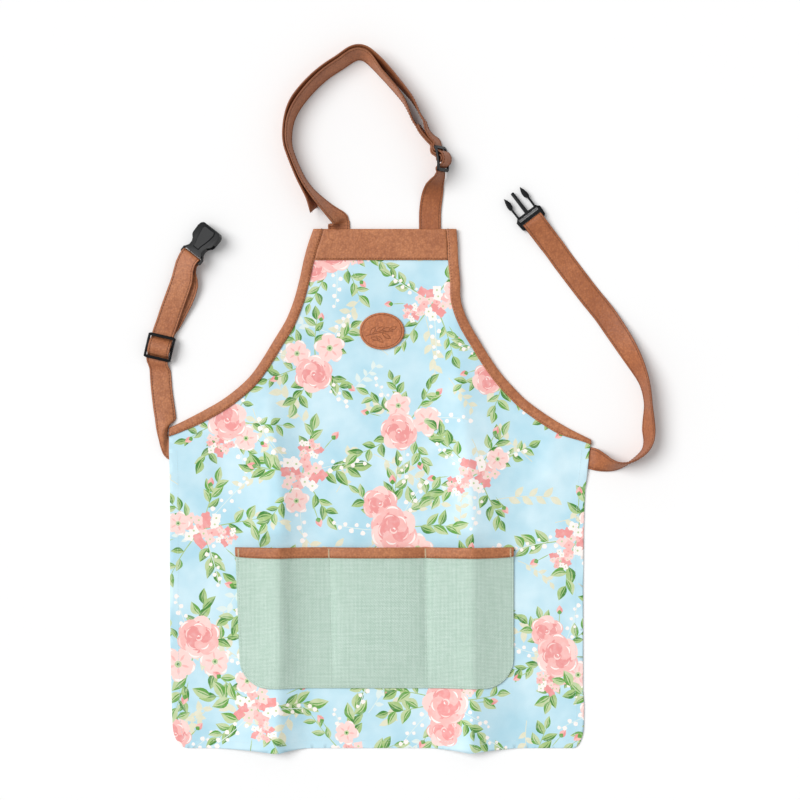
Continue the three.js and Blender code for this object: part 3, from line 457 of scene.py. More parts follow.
def cubic(values, slope, at, gaps=None):
    """A curve through values with given slopes, at places counted in steps
    between them. Each stretch is a cubic. The slopes are for a step, or for
    a millimetre where the gaps between the values are given."""
    k = np.clip(np.floor(at).astype(int), 0, len(values) - 2)
    t = (at - k)[:, None]
    step = 1.0 if gaps is None else gaps[k][:, None]
    return (
        values[k] * (1 + 2 * t) * (1 - t) ** 2
        + slope[k] * step * t * (1 - t) ** 2
        + values[k + 1] * t**2 * (3 - 2 * t)
        + slope[k + 1] * step * t**2 * (t - 1)
    )


def spline(points, at):
    """A smooth curve whose slope at each point is half the way from the
    point before it to the one after it."""
    points = np.asarray(points, float)
    return cubic(points, np.gradient(points, axis=0), at)


def run_of(line):
    """The length run at each point of a line."""
    steps = np.linalg.norm(np.diff(line, axis=0), axis=1)
    return np.concatenate([[0], np.cumsum(steps)])


def resample(points, spacing):
    """Points at an even spacing along a line."""
    run = run_of(points)
    count = max(int(round(run[-1] / spacing)), 2)
    at = np.linspace(0, run[-1], count + 1)
    return np.stack([np.interp(at, run, points[:, k]) for k in range(points.shape[1])], 1)


def unit(v):
    """Directions of one unit's length."""
    return v / np.maximum(np.linalg.norm(v, axis=-1, keepdims=True), 1e-9)


# Drape
def smooth_table(table, key, value, at):
    """A column of a table at a place along it, eased between its rows."""
    order = np.argsort(table[:, key])
    x, y = table[order, key], table[order, value]
    k = np.clip(np.searchsorted(x, at) - 1, 0, len(x) - 2)
    t = np.clip((at - x[k]) / (x[k + 1] - x[k]), 0, 1)
    t = t * t * (3 - 2 * t)
    return y[k] + (y[k + 1] - y[k]) * t


def fold_lift(fold, reach, x, y):
    """Height of a fold: highest on its crest, falling away on both sides as
    a power of the share of its reach that is left."""
    up = np.where(y > 0, y / BIB_RISE, y / SKIRT_DROP)
    order = fold[np.argsort(fold[:, 0])]
    crest = np.interp(up, order[:, 0], order[:, 1]) * WAIST_HALF
    height = smooth_table(fold, 0, 2, up) * FOLD_HEIGHT
    side = np.where(x < crest, *reach) * WAIST_HALF
    t = np.sqrt((x - crest) ** 2 + CREST_ROUND**2) / side
    return height * np.clip(1 - t, 0, 1) ** FOLD_SHARPNESS


def ease(x):
    """A smooth step from 0 to 1, as 3 squares less 2 cubes of the share."""
    x = np.clip(x, 0, 1)
    return x * x * (3 - 2 * x)


def armhole(side):
    """The leather's outer edge along one armhole, from the bib's top."""
    out, up = (ARMHOLE[:, 0], ARMHOLE[:, 1]) if side < 0 else (ARMHOLE[:, 2], ARMHOLE[:, 3])
    x = side * (BIB_HALF + out * (WAIST_HALF - BIB_HALF)) + BIB_SHIFT * (1 - out)
    return np.stack([x, up * BIB_RISE], 1)


EDGES = {side: armhole(side) for side in (-1, 1)}


def side_of(side, y):
    """Where an armhole or side edge is at a height on the panel."""
    edge = EDGES[side][::-1]
    share = SKIRT[::-1, 1 if side < 0 else 2]
    skirt_x = side * WAIST_HALF * np.concatenate([share[:1], share])
    skirt_y = np.concatenate([[-1.5 * SKIRT_DROP], -SKIRT[::-1, 0] * SKIRT_DROP])
    return np.interp(y, np.concatenate([skirt_y, edge[:, 1]]), np.concatenate([skirt_x, edge[:, 0]]))


def panel_under(x, y):
    """Height of the panel's underside: it lies on the table, on the leather
    that wraps its edges and on the strap roots, and rises in two folds. A
    low crease crosses it under the waist, a bell curve of the distance from
    its line, and the cloth between ripples as a product of two sines."""
    x, y = np.asarray(x, float), np.asarray(y, float)
    to_side = np.minimum(x - side_of(-1, y), side_of(1, y) - x)
    lift = smooth_table(ARMHOLE, 1, 4, y / BIB_RISE)
    sides = ease((4.2 * BINDING_WIDTH - to_side) / (3 * BINDING_WIDTH))
    spread = sides + (1 - sides) * np.clip(4 * lift, 0, 1)
    bib = (OVER_BINDING + (OVER_BAND - OVER_BINDING) * lift) * spread
    bib = bib * ease((y + 22) / 24)
    root = OVER_STRAP * ease((ROOT_DEPTH + 1.7 * STRAP_WIDTH - to_side) / STRAP_WIDTH)
    root = root * ease((y + 0.17 * SKIRT_DROP) / (0.07 * SKIRT_DROP)) * ease((18 - y) / 16)
    left, right = (fold_lift(fold, reach, x, y) for fold, reach in FOLDS)
    off_crease = (y + CREASE_DROP + CREASE_SLOPE * x) / CREASE_WIDTH
    crease = CREASE_HEIGHT * np.exp(-(off_crease**2)) * ease((95 - abs(x + 15)) / 30)
    ripple = RIPPLE * np.sin(0.035 * x + 0.6 * np.sin(0.02 * y)) * np.sin(0.024 * y + 0.4)
    calm = ease((to_side - 14) / 40) * ease((226 - y) / 40) * ease((y + 0.93 * SKIRT_DROP) / 30)
    return np.maximum(bib, root) + left + right + crease + (SLACK + ripple) * calm


def panel_top(x, y):
    """Height of the panel's face, one cloth above its underside."""
    return panel_under(x, y) + PANEL_CLOTH


def laid(plan):
    """Plan points at the height of the panel's underside."""
    z = panel_under(plan[..., 0], plan[..., 1])
    return np.concatenate([plan, z[..., None]], axis=-1)


def on_top(points, height):
    """Plan points on the panel's face, raised by a height."""
    z = panel_top(points[:, 0], points[:, 1]) + height
    return np.column_stack([points, z])


def hem_corner(side, low):
    """Quarter of an oval from a side edge's foot to an end of the hem."""
    turn = np.linspace(0, 0.5 * math.pi, 8)[1:-1]
    return np.stack([
        low[0] - (low[0] - side[0]) * np.cos(turn),
        side[1] - (side[1] - low[1]) * np.sin(turn),
    ], 1)


def hem_line():
    """The skirt's outline from the left corner round to the right one. Its
    bottom reaches further down where a fold stands up."""
    left = np.stack([-SKIRT[:, 1] * WAIST_HALF, -SKIRT[:, 0] * SKIRT_DROP], 1)
    right = np.stack([SKIRT[:, 2] * WAIST_HALF, -SKIRT[:, 0] * SKIRT_DROP], 1)
    x = np.linspace(-0.91, 0.915, 60) * WAIST_HALF
    foot = np.full(60, -SKIRT_DROP)
    swell = np.maximum(*(fold_lift(fold, reach, x, foot) for fold, reach in FOLDS))
    bottom = np.stack([x, -SKIRT_DROP - HEM_DIP * swell / FOLD_HEIGHT], 1)
    low = hem_corner(left[-1], bottom[0])
    high = hem_corner(right[-1], bottom[-1])[::-1]
    return np.concatenate([left, low, bottom, high, right[::-1]])


def edge_run(side, step=3.0):
    """Even points along an armhole, with the inward direction and the
    leather's width at each. Inward is level at the bib's top and straight
    down at the waist corner, where the leather narrows."""
    line = spline(EDGES[side], np.linspace(0, len(EDGES[side]) - 1, 200))
    line = resample(line, step)
    run = unit(np.gradient(line, axis=0))
    inward = np.stack([-side * abs(run[:, 1]), -abs(run[:, 0])], 1)
    share = np.linspace(0, 1, len(line))
    top = ease(share / 0.05)[:, None]
    inward = unit(inward * top + np.array([-side, 0.0]) * (1 - top))
    low = ease((share - 0.96) / 0.04)[:, None]
    inward = unit(inward * (1 - low) + np.array([0.0, -1.0]) * low)
    width = BINDING_WIDTH * (1 + (CORNER_WIDTH[side] - 1) * ease((share - 0.86) / 0.14))
    return line, inward, width


# Print
def srgb(r, g, b):
    """Scene colour of a screen colour of 0 to 255."""
    c = np.array([r, g, b]) / 255
    c = np.where(c <= 0.04045, c / 12.92, ((c + 0.055) / 1.055) ** 2.4)
    return (*c, 1.0)


ROSE = srgb(246, 186, 181)
DEEP_ROSE = srgb(236, 152, 150)
PALE_ROSE = srgb(250, 213, 207)
CREAM = srgb(253, 243, 238)
SAGE = srgb(190, 208, 156)
OLIVE = srgb(164, 194, 124)
GREEN = srgb(98, 160, 66)
DARK_GREEN = srgb(68, 134, 52)
BEIGE = srgb(226, 224, 198)
MIST = srgb(222, 236, 232)
WRONG_SIDE = srgb(214, 228, 230)
FINE_STALK = np.full(7, 0.4)


class Artwork:
    """Painted shapes, later ones over earlier ones, each with its colour."""

    def __init__(self, seed):
        """No shapes yet, and a row of chances that is alike in each run."""
        self.shapes = []
        self.rng = np.random.default_rng(seed)

    def add(self, outline, x, y, turn, color):
        """Adds an outline, turned and moved to a place."""
        c, s = math.cos(turn), math.sin(turn)
        p = np.asarray(outline, float)
        moved = np.stack([x + p[:, 0] * c - p[:, 1] * s, y + p[:, 0] * s + p[:, 1] * c], 1)
        self.shapes.append((moved, color))

    def between(self, low, high):
        """A chance number between two others."""
        return self.rng.uniform(low, high)


def beside(x, y, turn, along, aside):
    """Place so far along a heading from a point, and to the left of it."""
    c, s = math.cos(turn), math.sin(turn)
    return x + along * c - aside * s, y + along * s + aside * c


def blob(radius, wobble, lobes, phase, count=16, squash=1.0):
    """A circle whose radius swells in a few lobes:
    r = radius (1 + wobble sin(lobes a + phase))."""
    a = np.linspace(0, 2 * math.pi, count, endpoint=False)
    r = radius * (1 + wobble * np.sin(lobes * a + phase))
    return np.stack([r * np.cos(a), squash * r * np.sin(a)], 1)


def stroke(radius, thick, start, span, count=7):
    """A brush stroke round an arc: thickest in its middle, its thickness
    following the sine of the share along it, and pointed at its ends."""
    t = np.linspace(0, 1, count)
    a = start + span * t
    swell = 0.5 * thick * np.sin(math.pi * t) ** 0.8
    outer = np.stack([(radius + swell) * np.cos(a), (radius + swell) * np.sin(a)], 1)
    inner = np.stack([(radius - swell) * np.cos(a), (radius - swell) * np.sin(a)], 1)
    return np.concatenate([outer, inner[-2:0:-1]])


def lens(length, width, bend=0.0, low=-1.0, high=1.0, count=7):
    """A leaf's outline between two curves that meet at its ends, y = bend
    sin(pi t) + half the width sin(pi t^0.85) times low and high."""
    t = np.linspace(0, 1, count)
    w = 0.5 * width * np.sin(math.pi * t**0.85)
    y = bend * np.sin(math.pi * t)
    upper = np.stack([length * t, y + high * w], 1)
    lower = np.stack([length * t, y + low * w], 1)
    return np.concatenate([upper, lower[-2:0:-1]])


def leaf(art, x, y, turn, length):
    """Leaf of three tones: pale body, a greener half and a dark rib."""
    width = length * art.between(0.42, 0.58)
    bend = length * art.between(-0.12, 0.12)
    pale, deep = (SAGE, GREEN) if art.between(0, 1) < 0.6 else (OLIVE, DARK_GREEN)
    side = 1 if art.between(0, 1) < 0.5 else -1
    art.add(lens(length, width, bend), x, y, turn, pale)
    low, high = sorted((side * 0.35, side * 1.0))
    art.add(lens(length * 0.96, width, bend, low, high), x, y, turn, deep)
    art.add(lens(length * 0.8, width * 0.14, bend, count=5), x, y, turn, deep)


def stalk(art, x, y, turn, length, bend, wide, color):
    """Thin stem, bent aside as the square of the share along it. wide is
    half its thickness at even places."""
    t = np.linspace(0, 1, len(wide))
    line = np.stack([length * t, bend * t**2], 1)
    wide = np.column_stack([np.zeros(len(wide)), wide])
    art.add(np.concatenate([line + wide, (line - wide)[::-1]]), x, y, turn, color)


def spray(art, x, y, turn, length, count, size):
    """Bent stem, thickest at its foot, with leaves on both sides of it."""
    bend = length * art.between(-0.25, 0.25)
    stalk(art, x, y, turn, length, bend, 0.75 - 0.4 * np.linspace(0, 1, 8), OLIVE)
    for k in range(count):
        share = 0.35 + 0.65 * (k + 1) / count
        side = 1 if k % 2 else -1
        a = turn + side * art.between(0.5, 1.0) if k < count - 1 else turn
        spot = beside(x, y, turn, length * share, bend * share**2)
        leaf(art, *spot, a, size * art.between(0.85, 1.15))


def camellia(art, x, y, radius, turn):
    """Full flower: two rounds of broad petals over one another, each with a
    pale rim and a deeper foot, about a folded heart."""
    rounds = ((6, 0.58, 0.47, 0.0), (5, 0.33, 0.36, 0.6))
    for number, out, size, twist in rounds:
        for k in range(number):
            a = turn + twist + 2 * math.pi * (k + art.between(-0.1, 0.1)) / number
            px, py = x + out * radius * math.cos(a), y + out * radius * math.sin(a)
            color = (ROSE, PALE_ROSE, ROSE)[k % 3] if out > 0.5 else (DEEP_ROSE, ROSE)[k % 2]
            petal = blob(size * radius, 0.06, 3, art.between(0, 6), 14, 1.12)
            art.add(petal, px, py, a, color)
            rim = stroke(0.84 * size * radius, 0.2 * size * radius, -0.9, art.between(1.3, 1.9))
            art.add(rim, px, py, a, CREAM if k % 2 else PALE_ROSE)
            shade = stroke(0.45 * size * radius, 0.26 * size * radius, 0.5, 1.5, 6)
            art.add(shade, px, py, a, DEEP_ROSE if out > 0.5 else ROSE)
    art.add(blob(0.2 * radius, 0.1, 3, turn, 10), x, y, 0, DEEP_ROSE)
    art.add(stroke(0.15 * radius, 0.09 * radius, turn, 3.6, 8), x, y, 0, PALE_ROSE)
    art.add(stroke(0.06 * radius, 0.06 * radius, turn + 3, 3.0, 6), x, y, 0, CREAM)


def blossom(art, x, y, radius, turn):
    """Open flower of five petals with fine veins and a green eye."""
    for k in range(5):
        a = turn + 2 * math.pi * k / 5
        px, py = x + 0.55 * radius * math.cos(a), y + 0.55 * radius * math.sin(a)
        art.add(blob(0.44 * radius, 0.09, 3, art.between(0, 6), 12), px, py, a, PALE_ROSE)
        art.add(stroke(0.36 * radius, 0.14 * radius, -0.8, 1.5, 6), px, py, a, CREAM)
        vein = lens(0.46 * radius, 0.14 * radius, count=5)
        art.add(vein, x + 0.2 * radius * math.cos(a), y + 0.2 * radius * math.sin(a), a, ROSE)
    art.add(blob(0.2 * radius, 0.1, 5, turn, 10), x, y, 0, SAGE)
    art.add(blob(0.09 * radius, 0.1, 3, turn, 7), x, y, 0, DARK_GREEN)


def cluster(art, x, y, radius, turn):
    """Round head of small four-petalled florets in three pinks."""
    for k in range(16):
        a, r = 2.4 * k + turn, radius * math.sqrt((k + 0.5) / 16)
        px, py = x + r * math.cos(a), y + 0.8 * r * math.sin(a)
        color = (ROSE, PALE_ROSE, DEEP_ROSE, CREAM)[k % 4]
        art.add(blob(0.25 * radius, 0.24, 4, art.between(0, 6), 12), px, py, a, color)
        art.add(blob(0.06 * radius, 0, 2, 0, 5), px, py, a, SAGE if k % 2 else DEEP_ROSE)


def bud(art, x, y, turn, length):
    """Closed flower on a short stem, in a green cup."""
    art.add(lens(length, 0.06 * length, count=5), x, y, turn, OLIVE)
    px, py = x + 0.8 * length * math.cos(turn), y + 0.8 * length * math.sin(turn)
    art.add(lens(0.6 * length, 0.4 * length), px, py, turn, ROSE)
    art.add(lens(0.56 * length, 0.4 * length, 0, -1, -0.1), px, py, turn, DEEP_ROSE)
    art.add(lens(0.3 * length, 0.3 * length, count=5), px, py, turn, GREEN)


def beads(art, x, y, turn, length):
    """Thin bent stalk with small cream berries on both sides of it."""
    bend = length * art.between(-0.25, 0.25)
    stalk(art, x, y, turn, length, bend, FINE_STALK, MIST)
    for k in range(9):
        share = 0.25 + 0.75 * k / 8
        aside = bend * share**2 + (1 if k % 2 else -1) * length * 0.085 * (1.3 - share)
        size = length * art.between(0.028, 0.045)
        spot = beside(x, y, turn, length * share, aside)
        art.add(blob(size, 0.1, 3, k, 7), *spot, 0, CREAM)


def ghost(art, x, y, turn, length):
    """Faint spray behind the flowers: beige or misty leaves on a stalk."""
    bend = length * art.between(-0.3, 0.3)
    color = BEIGE if art.between(0, 1) < 0.7 else MIST
    stalk(art, x, y, turn, length, bend, FINE_STALK, color)
    for k in range(7):
        share = 0.25 + 0.75 * k / 6
        a = turn + (1 if k % 2 else -1) * art.between(0.5, 1.1)
        size = length * art.between(0.2, 0.28)
        outline = lens(size, size * 0.5, size * art.between(-0.1, 0.1), count=6)
        spot = beside(x, y, turn, length * share, bend * share**2)
        art.add(outline, *spot, a, color)


# Flowers of the three kinds of bouquet: where each is, in shares of the
# bouquet's size, its own share, and its twist
FLOWERS = (
    (
        (cluster, -0.1, 0.5, 0.27, 0),
        (blossom, -0.5, 0.12, 0.27, 0),
        (camellia, 0.42, -0.3, 0.3, 1),
        (camellia, 0.02, 0.0, 0.4, 0),
    ),
    ((blossom, -0.26, 0.3, 0.27, 2), (blossom, 0.36, 0.12, 0.31, 0), (camellia, -0.14, -0.2, 0.36, 0)),
    ((cluster, 0.0, 0.0, 0.36, 0), (blossom, 0.42, 0.2, 0.23, 0), (cluster, -0.42, -0.16, 0.2, 0)),
)


def bouquet(art, x, y, turn, size, kind):
    """Sprays of leaves all round, then the flowers of one of three kinds."""
    def at(along, aside):
        """Place in the bouquet, in shares of its size."""
        c, s = math.cos(turn), math.sin(turn)
        return x + size * (along * c - aside * s), y + size * (along * s + aside * c)

    arms = 7 - kind
    for k in range(arms):
        a = turn + 2 * math.pi * (k + art.between(-0.25, 0.25)) / arms
        reach = size * art.between(0.75, 1.15)
        spray(art, x, y, a, reach, 5 if k % 2 else 6, size * art.between(0.24, 0.32))
    for k in range(3):
        beads(art, x, y, turn + 0.5 + 2.1 * k, size * art.between(0.9, 1.2))
        spot = at(0.55 * math.cos(2.1 * k + 1), 0.55 * math.sin(2.1 * k + 1))
        bud(art, *spot, turn + 2.1 * k + 1, size * 0.3)
    for flower, along, aside, share, twist in FLOWERS[kind]:
        flower(art, *at(along, aside), share * size, turn + twist)


def paint_cloth():
    """The whole print: bouquets of three kinds on a slanted net of places,
    over ghost sprays that the golden ratio spreads evenly."""
    art = Artwork(11)
    for k in range(GHOSTS):
        x = -236 + 472 * ((k * GOLDEN) % 1.0)
        y = -350 + 590 * ((k + 0.5) / GHOSTS)
        ghost(art, x, y, art.between(0, 6.28), art.between(40, 64))
    kinds = (0, 2, 1, 0, 1, 2)
    places = [(column, row) for column in range(-3, 4) for row in range(-4, 4)]
    for k, (column, row) in enumerate(places):
        x = column * COLUMN_STEP + row * ROW_SLANT + 34 + art.between(-9, 9)
        y = row * ROW_STEP + (ROW_STEP / 2 if column % 2 else 0) + 26 + art.between(-9, 9)
        size = art.between(56, 66)
        turn = art.between(0, 6.28)
        if abs(x) < 300 and -420 < y < 300:
            bouquet(art, x, y, turn, size, kinds[k % 6])
    return art.shapes


def inside(outline, points):
    """Which points an outline holds, by counting the edges that cross the
    level of each to its right."""
    x, y = points[:, 0], points[:, 1]
    odd = np.zeros(len(points), bool)
    for (ax, ay), (bx, by) in zip(outline, np.roll(outline, -1, axis=0)):
        if ay != by:
            cross = (ay > y) != (by > y)
            odd ^= cross & (x < (bx - ax) * (y - ay) / (by - ay) + ax)
    return odd


def panel_outline():
    """Edge of the cloth: inside the leather round the bib, then the skirt."""
    sides = {}
    for side in (-1, 1):
        line, inward, _ = edge_run(side)
        sides[side] = line + inward * EDGE_WRAP
        sides[side][0, 1] -= EDGE_WRAP
    return np.concatenate([sides[-1], hem_line(), sides[1][::-1]])


def cut_net(rings, loose):
    """Plan points and upward triangles of a net that keeps every ring as
    edges, with loose points between them, kept within the first ring."""
    points = np.concatenate([*rings, loose])
    ends = np.cumsum([len(ring) for ring in rings])
    after = np.arange(ends[-1]) + 1
    after[ends - 1] = np.concatenate([[0], ends[:-1]])
    edges = np.column_stack([np.arange(ends[-1]), after])
    flat, _, tris = delaunay_2d_cdt(points.tolist(), edges.tolist(), [], 0, 1e-4, False)[:3]
    flat = np.array([tuple(v) for v in flat])
    tris = np.array(tris)
    tris = tris[inside(rings[0], flat[tris].mean(axis=1))]
    used, tris = np.unique(tris, return_inverse=True)
    flat, tris = flat[used], tris.reshape(-1, 3)
    first, second = flat[tris[:, 1]] - flat[tris[:, 0]], flat[tris[:, 2]] - flat[tris[:, 0]]
    turned = first[:, 0] * second[:, 1] - first[:, 1] * second[:, 0] < 0
    tris[turned] = tris[turned][:, ::-1]
    return flat, tris


def rim_loop(flat, tris, outline):
    """The points on a net's edge, in order along the outline they lie on:
    each takes its place from the nearest spot of the nearest side."""
    pairs = np.concatenate([tris[:, [0, 1]], tris[:, [1, 2]], tris[:, [2, 0]]])
    count = len(flat)
    code, back = pairs[:, 0] * count + pairs[:, 1], pairs[:, 1] * count + pairs[:, 0]
    edge = np.unique(pairs[~np.isin(code, back)])
    side = np.roll(outline, -1, axis=0) - outline
    away = flat[edge][:, None] - outline
    share = np.clip((away * side).sum(axis=-1) / np.maximum((side**2).sum(axis=-1), 1e-12), 0, 1)
    near = np.linalg.norm(away - share[..., None] * side, axis=-1).argmin(axis=1)
    return edge[np.argsort(near + share[np.arange(len(edge)), near])]


def loose_points(outline, step):
    """A net of points over the panel, a step apart, within its outline."""
    x, y = np.meshgrid(np.arange(*NET_ACROSS, step), np.arange(*NET_UP, 1.1 * step))
    points = np.stack([x.ravel(), y.ravel()], 1)
    return points[inside(outline, points)]


def dress_panel():
    """The printed cotton. Its face is a net of triangles cut along every
    painted outline, its back a plain net with the same rim one cloth below,
    and both are lifted to the drape. Each corner of a face holds its paint,
    with 1 as the fourth number where the bare blue ground shows."""
    outline = panel_outline()
    painted = paint_cloth()
    held = inside(outline, np.concatenate([ring for ring, _ in painted]))
    held = np.split(held, np.cumsum([len(ring) for ring, _ in painted])[:-1])
    kept = [shape for shape, points in zip(painted, held) if points.any()]
    flat, tris = cut_net([outline, *(ring for ring, _ in kept)], loose_points(outline, FACE_NET))
    centre = flat[tris].mean(axis=1)
    color = np.tile((*WRONG_SIDE[:3], 1.0), (len(tris), 1))
    order = np.argsort(centre[:, 0])
    level = centre[order, 0]
    for ring, shade in kept:
        low, high = ring.min(axis=0), ring.max(axis=0)
        near = order[np.searchsorted(level, low[0]) : np.searchsorted(level, high[0])]
        near = near[(centre[near, 1] >= low[1]) & (centre[near, 1] <= high[1])]
        color[near[inside(ring, centre[near])]] = (*shade[:3], 0.0)
    rim = rim_loop(flat, tris, outline)
    back, under = cut_net([flat[rim]], loose_points(outline, BACK_NET))
    low = rim_loop(back, under, outline) + len(flat)
    points = np.concatenate([
        np.column_stack([flat, panel_top(flat[:, 0], flat[:, 1])]),
        np.column_stack([back, panel_under(back[:, 0], back[:, 1])]),
    ])
    after, low_after = np.roll(rim, -1), np.roll(low, -1)
    wall = np.concatenate([np.stack([after, rim, low], 1), np.stack([after, low, low_after], 1)])
    faces = np.concatenate([tris, under[:, ::-1] + len(flat), wall])
    piece = build("printed_panel", points, faces)
    plain = np.tile((*WRONG_SIDE[:3], 0.0), (len(under) + len(wall), 1))
    tint = piece.data.color_attributes.new("print", "FLOAT_COLOR", "CORNER")
    tint.data.foreach_set("color", np.repeat(np.concatenate([color, plain]), 3, axis=0).ravel())
    return piece


# Leather edges
def wrap(name, nodes, beyond, cloth, crown=0.35):
    """Leather folded over an edge. nodes is sections by points by xyz, from
    the line where the leather ends to the cloth's edge; beyond points out of
    the edge. Its skin runs over the top, crowned as a power of the sine of
    the share across, round the edge as half a circle, and back below."""
    m, k, _ = nodes.shape
    dome = np.reshape(crown, (-1, 1)) * np.sin(math.pi * np.linspace(0, 1, k)) ** 0.7
    edge = nodes[:, -1]
    turn = np.linspace(0.5 * math.pi, -0.5 * math.pi, 7)

    def skin(grow, bulge):
        """One side of the leather, a distance from the cloth."""
        over = nodes + UP * (cloth + grow) + UP * bulge[..., None]
        radius = 0.5 * cloth + grow
        middle = edge + UP * 0.5 * cloth
        bend = (
            middle[:, None]
            + beyond[:, None] * (np.cos(turn) * (grow + EDGE_SLACK))[None, :, None]
            + UP * (np.sin(turn) * radius)[None, :, None]
        )
        below = nodes[:, ::-1] - UP * grow
        return np.concatenate([over[:, :-1], bend, below[:, 1:]], axis=1)

    outer = skin(EDGE_WRAP, dome)
    inner = skin(CLEARANCE, np.zeros((1, k)))
    ring = np.concatenate([outer, inner[:, ::-1]], axis=1)
    ring[..., 2] = np.maximum(ring[..., 2], 0.0)
    n = ring.shape[1]
    uv = np.stack(np.meshgrid(run_of(edge) * MM, np.linspace(0, 1, n), indexing="ij"), -1)
    points = ring.reshape(-1, 3)
    return build(name, points, outwards(points, tube_faces(m, n)), uv.reshape(-1, 2))


def stitches(name, line, pitch=3.2, length=2.2, radius=0.32, normal=UP):
    """A row of thread stitches along a line: each is a small six-sided
    spindle lying on the surface, its ends dipping into it."""
    normal = np.broadcast_to(normal, line.shape)
    line = resample(np.column_stack([line, normal]), pitch)
    spots, up = line[:, :3], unit(line[:, 3:])
    run = unit(np.gradient(spots, axis=0))
    side = unit(np.cross(up, run))
    t = np.array([-0.5, -0.36, -0.12, 0.12, 0.36, 0.5])
    size = np.array([0.35, 0.85, 1, 1, 0.85, 0.35]) * radius
    rise = np.array([-0.5, 0.35, 0.8, 0.8, 0.35, -0.5]) * radius
    a = np.arange(6) * math.pi / 3
    ring = (
        spots[:, None, None]
        + run[:, None, None] * (t * length)[None, :, None, None]
        + up[:, None, None] * rise[None, :, None, None]
        + side[:, None, None] * (size[:, None] * np.cos(a))[None, :, :, None]
        + up[:, None, None] * (size[:, None] * np.sin(a))[None, :, :, None]
    )
    faces = outwards(ring[0].reshape(-1, 3), tube_faces(6, 6))
    ring[..., 2] = np.maximum(ring[..., 2], 0.0)
    faces = (faces[None] + (np.arange(len(spots)) * 36)[:, None, None]).reshape(-1, 4)
    return build(name, ring.reshape(-1, 3), faces)


def dress_binding(side, name):
    """Binding of an armhole. Its crown puckers a little along the edge, as
    the sum of two sines of the length run, the first bent by a third."""
    step = 2.5
    line, inward, width = edge_run(side, step)
    cloth = line + inward * EDGE_WRAP
    inner = line + inward * width[:, None]
    plan = inner[:, None] + (cloth - inner)[:, None] * np.linspace(0, 1, 7)[None, :, None]
    beyond = np.column_stack([-inward, np.zeros(len(line))])
    run = step * np.arange(len(line))
    crown = 0.5 + 0.22 * np.sin(run / 3.4 + 1.6 * np.sin(run / 21)) + 0.12 * np.sin(run / 1.7 + 2)
    piece = wrap(name, laid(plan), beyond, PANEL_CLOTH, crown=crown)
    seam = line + inward * (width - 1.9)[:, None]
    return piece, stitches(name + "_stitches", on_top(seam, EDGE_WRAP + 0.6 * crown))


def bib_columns():
    """The top band's left ends, right ends and heights, from one binding's
    inner line to the other's."""
    y = BIB_RISE - EDGE_WRAP - (BAND_DEPTH - EDGE_WRAP) * np.linspace(1, 0, 13)
    ends = []
    for side in (-1, 1):
        line, inward, width = edge_run(side, 2.0)
        inner = line + inward * width[:, None]
        inner = inner[np.argsort(inner[:, 1])]
        ends.append(np.interp(y, inner[:, 1], inner[:, 0]) - side * CLEARANCE)
    return *ends, y


def dress_band():
    """Band over the bib's top: sections spread evenly between the bindings,
    each folded over the edge, with a seam near its lower line."""
    left, right, y = bib_columns()
    share = np.linspace(0, 1, 61)
    x = left[None] + (right - left)[None] * share[:, None]
    plan = np.stack([x, np.tile(y, (61, 1))], -1)
    beyond = np.tile((0.0, 1.0, 0.0), (61, 1))
    piece = wrap("top_band_leather", laid(plan), beyond, PANEL_CLOTH, crown=0.3)
    seam = plan[1:-1, 0] + (0.0, 2.0)
    return piece, stitches("band_stitches", on_top(seam, EDGE_WRAP + 0.16))


def dress_hem():
    """Row of stitches inside the skirt's outline."""
    line = resample(hem_line(), 2.0)
    run = unit(np.gradient(line, axis=0))
    inward = np.column_stack([-run[:, 1], run[:, 0]])
    return stitches("hem_stitches", on_top(line + inward * HEM_DEPTH, 0.02), radius=0.2)


# Pocket
def pocket_at(across, down):
    """Plan place of a share across and down the pocket, its lower corners
    rounded."""
    to_side = np.minimum(across, 1 - across) * POCKET_WIDTH
    short = np.clip(POCKET_CORNER - to_side, 0, None)
    corner = POCKET_CORNER - np.sqrt(np.clip(POCKET_CORNER**2 - short**2, 0, None))
    lean = POCKET_LEAN * down * (1 - across)
    x = (across - 0.5) * POCKET_WIDTH + POCKET_SHIFT + lean
    y = -POCKET_DROP - EDGE_WRAP - down * (POCKET_HEIGHT - EDGE_WRAP - corner)
    return x, y


def pocket_puff(across, down):
    """How far the pocket stands off the panel: sewn down at its sides, its
    bottom and two seams, and lifted between them. The table is blunted by a
    mean over a short reach."""
    reach = across[..., None] + np.linspace(-0.012, 0.012, 7)
    puff = np.mean(np.interp(reach, POCKET_COLUMNS[:, 0], POCKET_COLUMNS[:, 1]), axis=-1)
    near = np.min(abs(across[..., None] - np.array(POCKET_SEWN)), axis=-1)
    puff = puff * ease(near / 0.02 + 0.08)
    fall = np.interp(down, POCKET_ROWS[:, 0], POCKET_ROWS[:, 1])
    return puff * fall * POCKET_PUFF


def pocket_under(across, down):
    """The pocket's wrong side: on the panel, raised by its puff and, at the
    mouth, by the leather that wraps it."""
    x, y = pocket_at(across, down)
    mouth = EDGE_WRAP * ease((0.13 - down) / 0.07)
    seat = panel_top(x, y) + CLEARANCE + 0.25 + mouth
    return np.stack([x, y, seat + pocket_puff(across, down)], -1)


def on_pocket(across, down, height):
    """Places on the pocket's face, raised by a height."""
    return pocket_under(across, down) + UP * (POCKET_CLOTH + height)


def soft_shares(count, seams):
    """Even shares from 0 to 1 with extra ones beside each seam."""
    extra = [s + d for s in seams for d in (-0.006, -0.003, 0, 0.003, 0.006)]
    return np.unique(np.round(np.concatenate([np.linspace(0, 1, count), np.clip(extra, 0, 1)]), 5))


